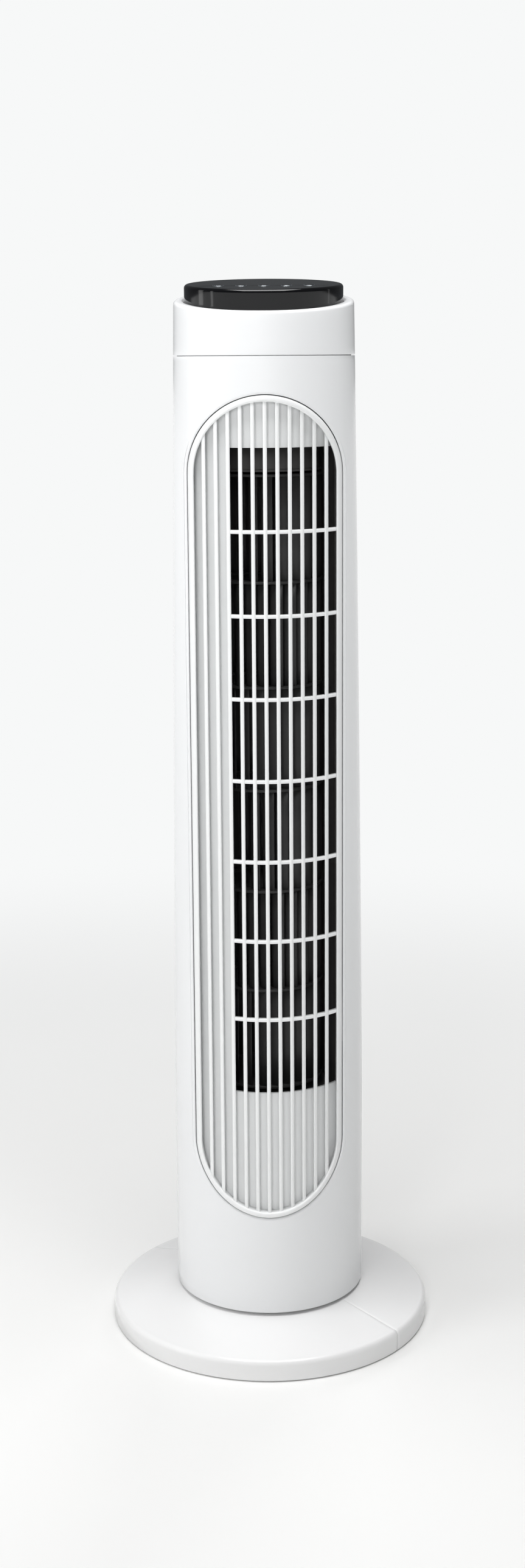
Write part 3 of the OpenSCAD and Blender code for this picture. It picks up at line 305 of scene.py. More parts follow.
def plastic(name, tone, rough, grain, depth, cloud, specular=0.5, flow=0.0):
    """Injection-moulded plastic: a fine grain from the mould, faint clouds in its colour and its polish,
    and slow waves where the melt shrank over the ribs behind it"""
    cloud_size, polish_size, polish_spread = 70 * MM, 9 * MM, 0.14
    material, tree, place = new_material(name)
    fine = add(tree, "ShaderNodeTexNoise", {
        "Vector": place, "Scale": 1 / grain, "Detail": 3.0, "Roughness": 0.6})
    slow = add(tree, "ShaderNodeTexNoise", {
        "Vector": place, "Scale": 1 / cloud_size, "Detail": 4.0, "Roughness": 0.55})
    base = add(tree, "ShaderNodeMix", {
        0: slow.outputs["Fac"], 6: shade(tone, cloud), 7: shade(tone, 1.0)}, data_type="RGBA").outputs[2]
    polish = add(tree, "ShaderNodeTexNoise", {
        "Vector": place, "Scale": 1 / polish_size, "Detail": 5.0, "Roughness": 0.65})
    roughness = add(tree, "ShaderNodeMapRange", {
        "Value": polish.outputs["Fac"], "To Min": rough * (1 - polish_spread),
        "To Max": rough * (1 + polish_spread)}).outputs[0]
    bump = add(tree, "ShaderNodeBump", {
        "Height": fine.outputs["Fac"], "Distance": depth, "Strength": 0.6}).outputs[0]
    if flow:
        bump = add(tree, "ShaderNodeBump", {
            "Height": slow.outputs["Fac"], "Distance": flow, "Strength": 0.8, "Normal": bump}).outputs[0]
    shader = add(tree, "ShaderNodeBsdfPrincipled", {
        "Base Color": base, "Roughness": roughness, "Specular IOR Level": specular, "IOR": 1.5,
        "Normal": bump})
    add(tree, "ShaderNodeOutputMaterial", {"Surface": shader.outputs[0]})
    return material


def metal(name, low, high, rough, pattern, depth, coat=0.0):
    """Metal whose colour and polish run between two tones along a pattern of the way it was made"""
    material, tree, place = new_material(name)
    height = pattern(tree, place)
    base = add(tree, "ShaderNodeMix", {
        0: height, 6: linear(low), 7: linear(high)}, data_type="RGBA").outputs[2]
    roughness = add(tree, "ShaderNodeMapRange", {
        "Value": height, "To Min": rough * 1.2, "To Max": rough * 0.8}).outputs[0]
    bump = add(tree, "ShaderNodeBump", {"Height": height, "Distance": depth, "Strength": 0.7}).outputs[0]
    shader = add(tree, "ShaderNodeBsdfPrincipled", {
        "Base Color": base, "Metallic": 1.0, "Roughness": roughness, "Coat Weight": coat,
        "Coat Roughness": 0.15, "Normal": bump})
    add(tree, "ShaderNodeOutputMaterial", {"Surface": shader.outputs[0]})
    return material


# share of a band's width that the wave pattern's scale counts
WAVE = 1 / 6.28


def spangle(tree, place):
    """Crystals of a zinc plating, about 1.2 mm wide"""
    return add(tree, "ShaderNodeTexVoronoi", {"Vector": place, "Scale": 1 / (1.2 * MM)}).outputs["Distance"]


def press_marks(tree, place):
    """Drawn sheet: streaks up the wall, 0.8 mm wide and 20 mm long"""
    stretched = add(tree, "ShaderNodeMapping", {"Vector": place, "Scale": (1, 1, 0.04)})
    return add(tree, "ShaderNodeTexNoise", {
        "Vector": stretched.outputs[0], "Scale": 1 / (0.8 * MM), "Detail": 3.0}).outputs["Fac"]


def laminations(tree, place):
    """Stacked sheets, drawn 1 mm thick so that they show"""
    return add(tree, "ShaderNodeTexWave", {
        "Vector": place, "Scale": WAVE / (1 * MM), "Distortion": 0.0}, bands_direction="Z").outputs["Fac"]


def wound_wire(tree, place):
    """Turns of 0.6 mm wire"""
    return add(tree, "ShaderNodeTexWave", {
        "Vector": place, "Scale": WAVE / (0.6 * MM), "Distortion": 0.4}, bands_direction="X").outputs["Fac"]


def pores(tree, place):
    """Open pores between pressed grains of 0.3 mm"""
    return add(tree, "ShaderNodeTexVoronoi", {"Vector": place, "Scale": 1 / (0.3 * MM)}).outputs["Distance"]


def glass_weave(name):
    """Green solder mask over woven glass cloth, whose threads of 0.6 mm show through"""
    material, tree, place = new_material(name)
    weave = add(tree, "ShaderNodeTexChecker", {"Vector": place, "Scale": 1 / (0.6 * MM)})
    base = add(tree, "ShaderNodeMix", {
        0: weave.outputs["Fac"], 6: linear("#0F5A2C"), 7: linear("#15703A")}, data_type="RGBA").outputs[2]
    shader = add(tree, "ShaderNodeBsdfPrincipled", {
        "Base Color": base, "Roughness": 0.28, "Coat Weight": 0.4, "Coat Roughness": 0.1})
    add(tree, "ShaderNodeOutputMaterial", {"Surface": shader.outputs[0]})
    return material


def clear_lens(name):
    """Clear epoxy of a small lamp, a little cloudy"""
    material, tree, place = new_material(name)
    cloud = add(tree, "ShaderNodeTexNoise", {"Vector": place, "Scale": 1 / (1.5 * MM)})
    tint = add(tree, "ShaderNodeMix", {
        0: cloud.outputs["Fac"], 6: linear("#DDE4E8"), 7: linear("#F4F7F8")}, data_type="RGBA").outputs[2]
    shader = add(tree, "ShaderNodeBsdfPrincipled", {
        "Base Color": tint, "Roughness": 0.12, "Transmission Weight": 0.85, "IOR": 1.5})
    add(tree, "ShaderNodeOutputMaterial", {"Surface": shader.outputs[0]})
    return material


def make_finishes():
    """Every material of the fan, by the record's slot that it paints"""
    c = looks().colours
    return {
        # ABS from a fine spark-eroded mould: satin white, with soft reflections of what stands near
        "column_white_abs": plastic(
            "abs_white_spark_eroded", c.shell, 0.2, 1.1 * MM, 0.02 * MM, 0.985, flow=0.12 * MM),
        # ABS from a polished mould: the base mirrors the column's foot faintly
        "base_white_abs": plastic(
            "abs_white_satin_moulded", c.base, 0.24, 1.3 * MM, 0.015 * MM, 0.985, flow=0.15 * MM),
        # the same ABS, drawn smoother on the narrow fronts of the slats
        "grille_white_abs": plastic("abs_white_fine_moulded", c.grille, 0.36, 0.9 * MM, 0.015 * MM, 0.985),
        # unpolished ABS inside: duller
        "inner_white_abs": plastic("abs_white_unpolished", c.inner_white, 0.5, 1.2 * MM, 0.04 * MM, 0.98),
        # ABS from a mirror-polished mould: deep black with sharp reflections
        "cap_black_gloss": plastic(
            "abs_black_mirror_moulded", c.cap, 0.09, 2.5 * MM, 0.001 * MM, 0.9,
            specular=0.42, flow=0.02 * MM),
        # keys of the same black, a shade greyer so that their edges catch light
        "key_black": plastic("abs_black_key_moulded", c.key, 0.1, 0.8 * MM, 0.004 * MM, 0.9, specular=0.7),
        # black regrind ABS, painted a dull grey: painted light that brightens the duct behind the grille,
        # where little light reaches
        "duct_black_abs": plastic("abs_black_duct_moulded", c.duct, 0.55, 1.0 * MM, 0.05 * MM, 0.85),
        # glass-filled nylon with a soft sheen and short fibres; its black is painted dark grey, painted light
        # that brightens the wheel inside the duct
        "impeller_black": plastic("nylon_black_glass_filled", c.wheel, 0.42, 0.7 * MM, 0.05 * MM, 0.8),
        # moulded rubber: dull, slightly dusty black
        "rubber_black": plastic("rubber_black_moulded", c.rubber, 0.8, 0.6 * MM, 0.06 * MM, 0.7),
        # natural acetal: waxy off-white
        "acetal_natural": plastic("acetal_natural_moulded", c.acetal, 0.38, 1.5 * MM, 0.02 * MM, 0.96),
        # extruded PVC of the wires' sleeves, and nylon of the switches: plain greys
        "pvc_grey": plastic("pvc_grey_extruded", linear("#77797C"), 0.45, 1.5 * MM, 0.03 * MM, 0.9),
        "switch_grey": plastic("nylon_grey_moulded", linear("#4A4C50"), 0.5, 0.8 * MM, 0.03 * MM, 0.9),
        # metals, each with the marks of the way it was made
        "steel_zinc": metal("steel_zinc_plated", "#9CA3AA", "#D3D8DC", 0.32, spangle, 0.01 * MM),
        "steel_pressed": metal("steel_deep_drawn", "#8E9398", "#B8BCC0", 0.36, press_marks, 0.02 * MM),
        "steel_laminated": metal(
            "steel_stacked_laminations", "#55585C", "#8D9195", 0.45, laminations, 0.05 * MM),
        "copper_enamelled": metal(
            "copper_enamelled_wire", "#7A3414", "#C8713A", 0.3, wound_wire, 0.15 * MM, coat=0.6),
        "bronze_sintered": metal("bronze_sintered_bush", "#6F5230", "#A88452", 0.5, pores, 0.03 * MM),
        "board_green": glass_weave("glass_epoxy_green_mask"),
        "led_clear": clear_lens("epoxy_clear_cast"),
    }


FINISHES = {}


def finish(slot):
    """The material of a slot. All are made at the first call."""
    if slot not in FINISHES:
        FINISHES.update(make_finishes())
    return FINISHES[slot]


# ---- meshes ----


def column_radius(z):
    """Radius of the column's skin at height z"""
    c = looks().column
    s = max(0.0, (z - c.taper_z) / (c.seam_z - c.taper_z))
    return c.foot_radius - (c.foot_radius - c.seam_radius) * ((1 - c.bow) * s + c.bow * s * s)


def on_skin(turn, z, side, depth=0.0):
    """Point on the column at an angle from the middle of its front (side -1) or its back (side 1)"""
    r = column_radius(z) - depth
    return Vector((r * math.sin(turn), side * r * math.cos(turn), z))


def behind_skin(x, z, depth):
    """Point at x and z whose distance from the column's skin is depth, on the front"""
    r = column_radius(z) - depth
    return Vector((x, -math.sqrt(max(r * r - x * x, 0.0)), z))


def spread(low, high, steps):
    """Evenly spaced values from low to high, both included"""
    return [low + (high - low) * i / steps for i in range(steps + 1)]


def rounded(corners, steps=5):
    """Outline through (x, z, radius) corners, with each radius drawn as an arc"""
    outline = []
    for i, (x, z, radius) in enumerate(corners):
        here = Vector((x, z))
        if radius <= 0:
            outline.append(here)
            continue
        before = (Vector(corners[i - 1][:2]) - here).normalized()
        after = (Vector(corners[(i + 1) % len(corners)][:2]) - here).normalized()
        half = before.angle(after) / 2
        centre = here + (before + after).normalized() * (radius / math.sin(half))
        start = here + before * (radius / math.tan(half)) - centre
        sweep = start.angle_signed(here + after * (radius / math.tan(half)) - centre)
        for k in range(steps + 1):
            outline.append(centre + Matrix.Rotation(-sweep * k / steps, 2) @ start)
    return outline


def joined(bm, loops, ring=True, cycle=False):
    """Quads between neighbouring loops. ring closes each loop, and cycle joins the last loop to the first."""
    rows = [[bm.verts.new(p) for p in loop] for loop in loops]
    for a, b in zip(rows, rows[1:] + (rows[:1] if cycle else [])):
        for i in range(len(a) - (0 if ring else 1)):
            j = (i + 1) % len(a)
            bm.faces.new((a[i], a[j], b[j], b[i]))
    return rows


def capped(bm, rows):
    """Closes the first and the last of joined loops with a face"""
    bm.faces.new(rows[0])
    bm.faces.new(reversed(rows[-1]))


def lathed(bm, outline, turns, move=Matrix.Identity(4)):
    """A closed outline of (radius, z) swept through the turns, whole or with flat ends"""
    whole = abs(turns[-1] - turns[0]) > math.tau - 1e-6
    sweep = turns[:-1] if whole else turns
    loops = [[move @ Vector((r * math.cos(t), r * math.sin(t), z)) for r, z in outline] for t in sweep]
    rows = joined(bm, loops, cycle=whole)
    if not whole:
        capped(bm, rows)


def full_turn(steps):
    """Angles once round, with the first one again at the end"""
    return spread(0.0, math.tau, steps)


def circle(radius, z, steps):
    """Points round the Z axis"""
    return [Vector((radius * math.cos(t), radius * math.sin(t), z)) for t in full_turn(steps)[:-1]]


def released(bm):
    """The bmesh as a mesh"""
    mesh = bpy.data.meshes.new("shape")
    bm.to_mesh(mesh)
    bm.free()
    return mesh


def mesh_of(bm, outward=True):
    """A mesh with its doubles merged, its empty faces dropped and its faces turned outwards"""
    bmesh.ops.remove_doubles(bm, verts=bm.verts, dist=WELD)
    bmesh.ops.dissolve_degenerate(bm, edges=bm.edges, dist=WELD / 4)
    if outward:
        bmesh.ops.recalc_face_normals(bm, faces=bm.faces)
    return released(bm)


def new_object(name, mesh):
    """An object in the scene, at the origin"""
    obj = bpy.data.objects.new(name, mesh)
    bpy.context.scene.collection.objects.link(obj)
    return obj


def applied(obj):
    """Replaces the object's mesh by what its modifiers make of it"""
    bpy.context.view_layer.update()
    done = bpy.data.meshes.new_from_object(obj.evaluated_get(bpy.context.evaluated_depsgraph_get()))
    obj.modifiers.clear()
    obj.data = done
    return obj


def modified(obj, kind, **settings):
    """Gives the object a modifier with its settings"""
    modifier = obj.modifiers.new(kind.title(), kind)
    for key, value in settings.items():
        setattr(modifier, key, value)


def edged(obj, width, degrees=35, segments=2):
    """Rounds the edges that are sharper than the angle"""
    modified(obj, "BEVEL", width=width, segments=segments, limit_method="ANGLE",
             angle_limit=math.radians(degrees), harden_normals=True)
    return applied(obj)


def piece(obj, slot, body, *nodes):
    """Gives a finished shape its material, its body and the CAD nodes that it stands for"""
    obj.data.materials.clear()
    obj.data.materials.append(finish(slot))
    obj.data.shade_smooth()
    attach(obj, body)
    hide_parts(*nodes)
    return obj


def repeat_tree():
    """Geometry nodes that repeat a shape in columns and rows, straight or round an axis"""
    tree = bpy.data.node_groups.get("repeat_in_rows")
    if tree:
        return tree
    tree = bpy.data.node_groups.new("repeat_in_rows", "GeometryNodeTree")
    tree.is_modifier = True
    sockets = [
        ("Geometry", "NodeSocketGeometry"), ("Columns", "NodeSocketInt"), ("Rows", "NodeSocketInt"),
        ("Column Step", "NodeSocketFloat"), ("Row Step", "NodeSocketFloat"),
        ("Column Turn", "NodeSocketFloat"), ("Row Turn", "NodeSocketFloat"),
        ("Material", "NodeSocketMaterial")]
    for name, kind in sockets:
        tree.interface.new_socket(name, in_out="INPUT", socket_type=kind)
    tree.interface.new_socket("Geometry", in_out="OUTPUT", socket_type="NodeSocketGeometry")
    given = add(tree, "NodeGroupInput").outputs

    known = {socket.name: socket for socket in given if socket.name}
    known["index"] = add(tree, "GeometryNodeInputIndex").outputs[0]
    for name, operation, a, b in (
            ("copies", "MULTIPLY", "Columns", "Rows"), ("column", "MODULO", "index", "Columns"),
            ("middle", "ADD", "index", 0.5), ("share", "DIVIDE", "middle", "Columns"),
            ("row", "FLOOR", "share", 0.0),
            ("x", "MULTIPLY", "column", "Column Step"), ("z", "MULTIPLY", "row", "Row Step"),
            ("column turn", "MULTIPLY", "column", "Column Turn"), ("row turn", "MULTIPLY", "row", "Row Turn"),
            ("turn", "ADD", "column turn", "row turn")):
        known[name] = add(
            tree, "ShaderNodeMath", {0: known.get(a, a), 1: known.get(b, b)}, operation=operation).outputs[0]
    points = add(tree, "GeometryNodeMeshLine", {"Count": known["copies"], "Offset": (0, 0, 0)}).outputs[0]
    place = add(tree, "ShaderNodeCombineXYZ", {0: known["x"], 2: known["z"]})
    placed = add(tree, "GeometryNodeSetPosition", {"Geometry": points, "Position": place.outputs[0]})
    copies = add(tree, "GeometryNodeInstanceOnPoints", {
        "Points": placed.outputs[0], "Instance": given["Geometry"],
        "Rotation": add(tree, "ShaderNodeCombineXYZ", {2: known["turn"]}).outputs[0]})
    real = add(tree, "GeometryNodeRealizeInstances", {0: copies.outputs[0]})
    welded = add(tree, "GeometryNodeMergeByDistance", {"Geometry": real.outputs[0], "Distance": WELD})
    painted = add(tree, "GeometryNodeSetMaterial", {
        "Geometry": welded.outputs[0], "Material": given["Material"]})
    add(tree, "NodeGroupOutput", {0: painted.outputs[0]})
    return tree


def repeated(bm, slot, **values):
    """Repeats the shape in bm by geometry nodes, and returns the result in a new bmesh"""
    obj = new_object("unit", mesh_of(bm, outward=False))
    modifier = obj.modifiers.new("Repeat", "NODES")
    modifier.node_group = repeat_tree()
    for item in modifier.node_group.interface.items_tree:
        key = item.name.lower().replace(" ", "_")
        if item.in_out == "INPUT" and key in values:
            modifier[item.identifier] = values[key]
        elif item.name == "Material":
            modifier[item.identifier] = finish(slot)
    applied(obj)
    result = bmesh.new()
    result.from_mesh(obj.data)
    bpy.data.objects.remove(obj)
    return result


def taken_in(bm, other):
    """Adds another bmesh's faces to bm"""
    mesh = released(other)
    bm.from_mesh(mesh)
    bpy.data.meshes.remove(mesh)


def added(obj, other):
    """Adds a bmesh's faces to the object's mesh"""
    whole = bmesh.new()
    whole.from_mesh(obj.data)
    taken_in(whole, other)
    whole.to_mesh(obj.data)
    whole.free()


def cut_out(obj, bm):
    """Cuts the shape in bm out of the object"""
    cutter = new_object("cutter", mesh_of(bm))
    modified(obj, "BOOLEAN", object=cutter, operation="DIFFERENCE", solver="EXACT")
    applied(obj)
    bpy.data.objects.remove(cutter)


def walled(name, bm, wall):
    """An object of the sheet in bm, with its faces turned away from the column's axis and a wall inside"""
    bmesh.ops.remove_doubles(bm, verts=bm.verts, dist=WELD)
    bmesh.ops.recalc_face_normals(bm, faces=bm.faces)
    outward = sum(f.normal.xy.dot(f.calc_center_median().xy) for f in bm.faces)
    if outward < 0:
        bmesh.ops.reverse_faces(bm, faces=bm.faces)
    obj = new_object(name, released(bm))
    modified(obj, "SOLIDIFY", thickness=wall, offset=-1, use_even_offset=True)
    return applied(obj)


# ---- base ----


class FAN_OT_base(bpy.types.Operator):
    """Builds the two halves of the round base, with their feet's sockets and ribs"""
    bl_idname = "fan.base"
    bl_label = "Base"

    def execute(self, context):
        b = looks().base
        top, edge_z, wall_r = b.radius - b.edge_radius, b.rim_height - b.edge_radius, b.crown_radius + b.wall
        rim = [(top + b.edge_radius * math.cos(t), edge_z + b.edge_radius * math.sin(t))
               for t in spread(math.radians(6), math.radians(84), 11)]
        crown = [(r, self.top_z(b, r)) for r in spread(top - 1 * MM, b.crown_radius, 14)]
        ledge = [(b.crown_radius, b.pedestal_low), (b.ledge_radius, b.pedestal_low),
                 (b.ledge_radius, b.ledge_low), (wall_r, b.ledge_low), (wall_r, b.ledge_low + 0.3 * MM)]
        underside = [(r, self.top_z(b, r) - b.wall) for r in spread(wall_r + 1 * MM, top, 8)]
        skirt = [(b.radius - b.wall, edge_z), (b.radius - b.wall, b.stand)]
        outline = [(b.radius, b.stand), (b.radius, edge_z)] + rim + crown + ledge + underside + skirt
        reach = math.pi / 2 - b.split / b.radius
        for name, half, node in (("base_front", -1, "base_front_half"), ("base_rear", 1, "base_rear_half")):
            bm = bmesh.new()
            middle = math.pi / 2 * half + b.turn
            lathed(bm, outline, spread(middle - reach, middle + reach, 120))
            shell = edged(new_object(name, mesh_of(bm)), b.split_edge, 50)
            if half == 1:
                self.cut_grommet_hole(shell, b, middle)
            self.add_sockets(shell, b, middle)
            piece(shell, "base_white_abs", "base", node)
        return {"FINISHED"}

    @staticmethod
    def top_z(b, r):
        """Height of the base's top at radius r"""
        edge = b.radius - b.edge_radius
        return b.rim_height + (edge - r) * (b.crown_height - b.rim_height) / (edge - b.crown_radius)

    @staticmethod
    def cut_grommet_hole(shell, b, middle):
        """Drills the hole in the middle of the rear half's rim"""
        bm = bmesh.new()
        drill, inset = 12 * MM, 2 * MM
        place = (Matrix.Rotation(middle, 4, "Z") @ Matrix.Translation((b.radius - inset, 0, b.grommet_height))
                 @ Matrix.Rotation(math.pi / 2, 4, "Y"))
        bmesh.ops.create_cone(bm, cap_ends=True, segments=48, radius1=b.grommet_radius,
                              radius2=b.grommet_radius, depth=drill, matrix=place)
        cut_out(shell, bm)

    def add_sockets(self, shell, b, middle):
        """Sockets that hold the rubber feet, and a rib between each two of them"""
        unit = bmesh.new()
        step = math.tau / b.feet
        play, mouth, rib_low = 0.1 * MM, b.stand + 0.2 * MM, b.stand + 5 * MM
        high = self.top_z(b, b.feet_radius + b.foot_radius) - b.bite
        hole, outside = b.foot_radius + play, b.foot_radius + b.socket_wall
        lathed(unit, [
            (0.0, b.socket_floor), (hole, b.socket_floor), (hole, mouth), (outside, mouth), (outside, high),
            (0.0, high)], full_turn(32), Matrix.Translation((b.feet_radius, 0, 0)))
        inner, outer = b.crown_radius + b.wall / 2, b.radius - b.wall / 2
        for v in bmesh.ops.create_cube(unit, size=1.0)["verts"]:
            along = inner if v.co.x < 0 else outer
            z = min(self.top_z(b, along), b.rim_height) - b.bite if v.co.z > 0 else rib_low
            v.co = Matrix.Rotation(step / 2, 4, "Z") @ Vector((along, math.copysign(b.rib / 2, v.co.y), z))
        unit.transform(Matrix.Rotation(middle - math.pi / 2 + step / 2, 4, "Z"))
        bmesh.ops.recalc_face_normals(unit, faces=unit.faces)
        added(shell, repeated(unit, "base_white_abs", columns=b.feet // 2, rows=1, column_turn=step))


# ---- column ----


def stadium(radius, low_z, high_z, arcs, side_steps):
    """Points (x, z) round an upright oval from the right side up, with arc points at the given angles"""
    right = [(radius, z) for z in spread(low_z, high_z, side_steps)[:-1]]
    over = [(radius * math.cos(t), high_z + radius * math.sin(t)) for t in arcs[0]]
    left = [(-radius, z) for z in spread(high_z, low_z, side_steps)[1:-1]]
    under = [(radius * math.cos(t), low_z + radius * math.sin(t)) for t in arcs[1]]
    return right + over + left + under


class FAN_OT_front_shell(bpy.types.Operator):
    """Builds the column's front shell round the oval opening of the grille"""
    bl_idname = "fan.front_shell"
    bl_label = "Front shell"
    side_steps = 46
    sheet_steps = 16

    def execute(self, context):
        c, g = looks().column, looks().grille
        radius = g.radius + g.groove
        middle_r = (c.foot_radius + c.seam_radius) / 2
        side = math.pi / 2 - c.split
        over, under = c.seam_z - g.top_z, g.low_z - c.foot_z
        a, b = math.atan2(over, side * middle_r), math.atan2(under, side * middle_r)
        arcs = (
            spread(0, a, 10)[:-1] + spread(a, math.pi - a, 60)[:-1] + spread(math.pi - a, math.pi, 10),
            spread(math.pi, math.pi + b, 12)[:-1] + spread(math.pi + b, math.tau - b, 50)[:-1]
            + spread(math.tau - b, math.tau, 12)[:-1])
        inner = stadium(radius, g.low_z, g.top_z, arcs, self.side_steps)
        outer = [self.on_edge(x, z, g, c, side, middle_r, over, under) for x, z in inner]
        loops = []
        for t in spread(0.0, math.pi / 2, 6):
            # the opening's edge rolls inwards
            wide = stadium(radius + g.roll * (1 - math.cos(t)), g.low_z, g.top_z, arcs, self.side_steps)
            loops.append([behind_skin(x, z, g.roll * (1 - math.sin(t))) for x, z in wide])
        for step in spread(0.0, 1.0, self.sheet_steps)[1:]:
            # the loops crowd towards the opening, where the edge curves
            share = step ** 1.25
            loop = []
            for (x, z), (turn, edge_z) in zip(wide, outer):
                start = math.asin(x / column_radius(z))
                height = z + (edge_z - z) * share
                loop.append(on_skin(start + (turn - start) * share, height, -1))
            loops.append(loop)
        bm = bmesh.new()
        joined(bm, loops)
        shell = edged(walled("front_shell_skin", bm, c.wall), c.edge, 50, 3)
        piece(shell, "column_white_abs", "column", "front_shell")
        return {"FINISHED"}

    @staticmethod
    def on_edge(x, z, g, c, side, middle_r, over, under):
        """Turn and height of the shell's edge point that an outline point runs out to"""
        if g.low_z <= z <= g.top_z:
            return math.copysign(side, x), z
        up = z > g.top_z
        rise = over if up else under
        slope = abs(z - (g.top_z if up else g.low_z)) / max(abs(x), 1e-9)
        centre, way = (g.top_z, 1) if up else (g.low_z, -1)
        if slope * side * middle_r <= rise:
            return math.copysign(side, x), centre + way * slope * side * middle_r
        return math.copysign(rise / slope / middle_r, x), centre + way * rise


class FAN_OT_rear_shell(bpy.types.Operator):
    """Builds the column's rear shell with its intake slots and its hand grip"""
    bl_idname = "fan.rear_shell"
    bl_label = "Rear shell"
    arc_steps = 6
    strip_steps = 6
    side_steps = 12
    screw_heights = (60 * MM, 150 * MM, 716 * MM)

    def execute(self, context):
        c, g, k = looks().column, looks().grille, looks().back
        pitch = 2 * k.spread / (k.columns - 1)
        step_z = g.cell + g.rib_height
        slots_low = g.outlet_z + g.cell / 2 - step_z / 2
        slots_high = slots_low + k.tiers * step_z
        side = math.pi / 2 - c.split
        edge = k.spread + pitch / 2
        across = spread(-edge, edge, k.columns * self.arc_steps)
        strips = [spread(-side, -edge, self.strip_steps), spread(edge, side, self.strip_steps)]
        # the sheet is drawn flat, with turns on X and heights on Z, and then laid on the column
        bm = repeated(
            self.slot_tile(k, pitch, step_z, -k.spread, slots_low + step_z / 2), "column_white_abs",
            columns=k.columns, rows=k.tiers, column_step=pitch, row_step=step_z)
        self.flat_grid(bm, strips[0][:-1] + across + strips[1][1:], spread(c.foot_z, slots_low, 18))
        for strip in strips:
            self.flat_grid(bm, strip, spread(slots_low, slots_high, k.tiers * 4))
            self.flat_grid(bm, strip, spread(slots_high, c.seam_z, self.side_steps))
        bmesh.ops.remove_doubles(bm, verts=bm.verts, dist=WELD)
        for v in bm.verts:
            v.co = on_skin(-v.co.x, v.co.z, 1)
        self.grip(bm, k, c, across, slots_high)
        shell = walled("rear_shell_skin", bm, c.wall)
        self.sink_screws(shell, k)
        edged(shell, k.edge, 50)
        piece(shell, "column_white_abs", "column", "rear_shell")
        return {"FINISHED"}

    @staticmethod
    def flat_grid(bm, turns, heights):
        """A plain stretch of the flat sheet"""
        joined(bm, [[Vector((t, 0, z)) for t in turns] for z in heights], ring=False)

    def slot_tile(self, k, pitch, step_z, middle_x, middle_z):
        """One cell of the intake: a plate round a slot with round ends"""
        # the column narrows upwards, so the same width takes a wider angle there
        end, narrowing = k.slot_width / 2, 1.02
        radius = end / looks().column.foot_radius * narrowing
        reach = (looks().grille.cell - 2 * k.slot_margin) / 2 - end
        hole, plate = [], []
        for side in (1, -1):
            for i in range(self.arc_steps):
                t = math.pi * i / self.arc_steps
                hole.append((side * radius * math.cos(t), side * (reach + end * math.sin(t))))
                plate.append((side * pitch * (0.5 - i / self.arc_steps), side * step_z / 2))
            for i in range(4):
                hole.append((-side * radius, side * reach * (1 - i / 2)))
                plate.append((-side * pitch / 2, side * step_z / 2 * (1 - i / 2)))
        bm = bmesh.new()
        joined(bm, [[Vector((x + middle_x, 0, z + middle_z)) for x, z in loop] for loop in (hole, plate)])
        return bm

    def grip(self, bm, k, c, across, low_z):
        """The plate round the hand grip, and the pocket behind it"""
        heights = spread(low_z, c.seam_z, self.side_steps)
        frame_points = (
            [(t, low_z, i / (len(across) - 1), 0.0) for i, t in enumerate(across[:-1])]
            + [(across[-1], z, 1.0, i / self.side_steps) for i, z in enumerate(heights[:-1])]
            + [(t, c.seam_z, 1 - i / (len(across) - 1), 1.0) for i, t in enumerate(reversed(across[1:]))]
            + [(across[0], z, 0.0, 1 - i / self.side_steps) for i, z in enumerate(reversed(heights[1:]))])
        half_w, half_h = k.grip_width / 2, k.grip_height / 2
        centre_z = k.grip_z + half_h

        def mouth(p, q, inset, corner):
            """Point on the recess's outline, for shares p and q of its width and height"""
            x, z = (2 * p - 1) * (half_w - inset), (2 * q - 1) * (half_h - inset)
            cx, cz = half_w - inset - corner, half_h - inset - corner
            if abs(x) > cx and abs(z) > cz:
                away = Vector((abs(x) - cx, abs(z) - cz)).normalized() * corner
                x, z = math.copysign(cx + away.x, x), math.copysign(cz + away.y, z)
            return x, centre_z + z

        loops = []
        # the plate, from its own edge to the recess
        for share in [step ** 0.8 for step in spread(0.0, 1.0, 8)]:
            loop = []
            for turn, z, p, q in frame_points:
                x, mz = mouth(p, q, 0.0, k.grip_corner)
                start = math.asin(x / column_radius(mz))
                loop.append(on_skin(-(turn + (start - turn) * share), z + (mz - z) * share, 1))
            loops.append(loop)
        wall_end = k.grip_floor + k.grip_curve
        # the pocket's walls: share of the way down, and share of the draft
        for share, draft in ((0.1875, 0), (0.5, 1 / 3), (0.8125, 2 / 3), (1, 1)):
            loop = []
            for _, _, p, q in frame_points:
                x, mz = mouth(p, q, draft * k.grip_draft, k.grip_corner)
                skin = math.sqrt(column_radius(mz) ** 2 - x * x)
                loop.append(Vector((-x, skin + (wall_end - skin) * share, mz)))
            loops.append(loop)
        for t in spread(0, math.pi / 2, 5)[1:]:
            # the curve from the walls to the floor
            step_in = k.grip_curve * (1 - math.cos(t))
            y = wall_end - k.grip_curve * math.sin(t)
            loop = []
            for _, _, p, q in frame_points:
                x, mz = mouth(p, q, k.grip_draft + step_in, k.grip_corner - step_in)
                loop.append(Vector((-x, y, mz)))
            loops.append(loop)
        rows = joined(bm, loops)
        bm.faces.new(rows[-1])

    def sink_screws(self, shell, k):
        """Cuts the holes of the shell screws, and lines them with the sleeves that carry the screws' seats"""
        holes, sleeves = bmesh.new(), bmesh.new()
        steps, drill, shank, seat_wall, under_skin = 40, 40 * MM, 1.7 * MM, 1.5 * MM, 1.3 * MM
        outside = k.screw_hole + k.sleeve_wall
        floor, back = k.screw_seat - seat_wall, k.screw_seat - 2 * seat_wall
        for z in self.screw_heights:
            for side in (-1, 1):
                x = side * (column_radius(z) - k.screw_inset)
                reach = math.sqrt(column_radius(z) ** 2 - x * x)
                place = Matrix.Translation((x, 0, z)) @ Matrix.Rotation(-math.pi / 2, 4, "X")
                bmesh.ops.create_cone(
                    holes, cap_ends=True, segments=steps, radius1=k.screw_hole, radius2=k.screw_hole,
                    depth=drill, matrix=place @ Matrix.Translation((0, 0, reach + 6 * MM)))
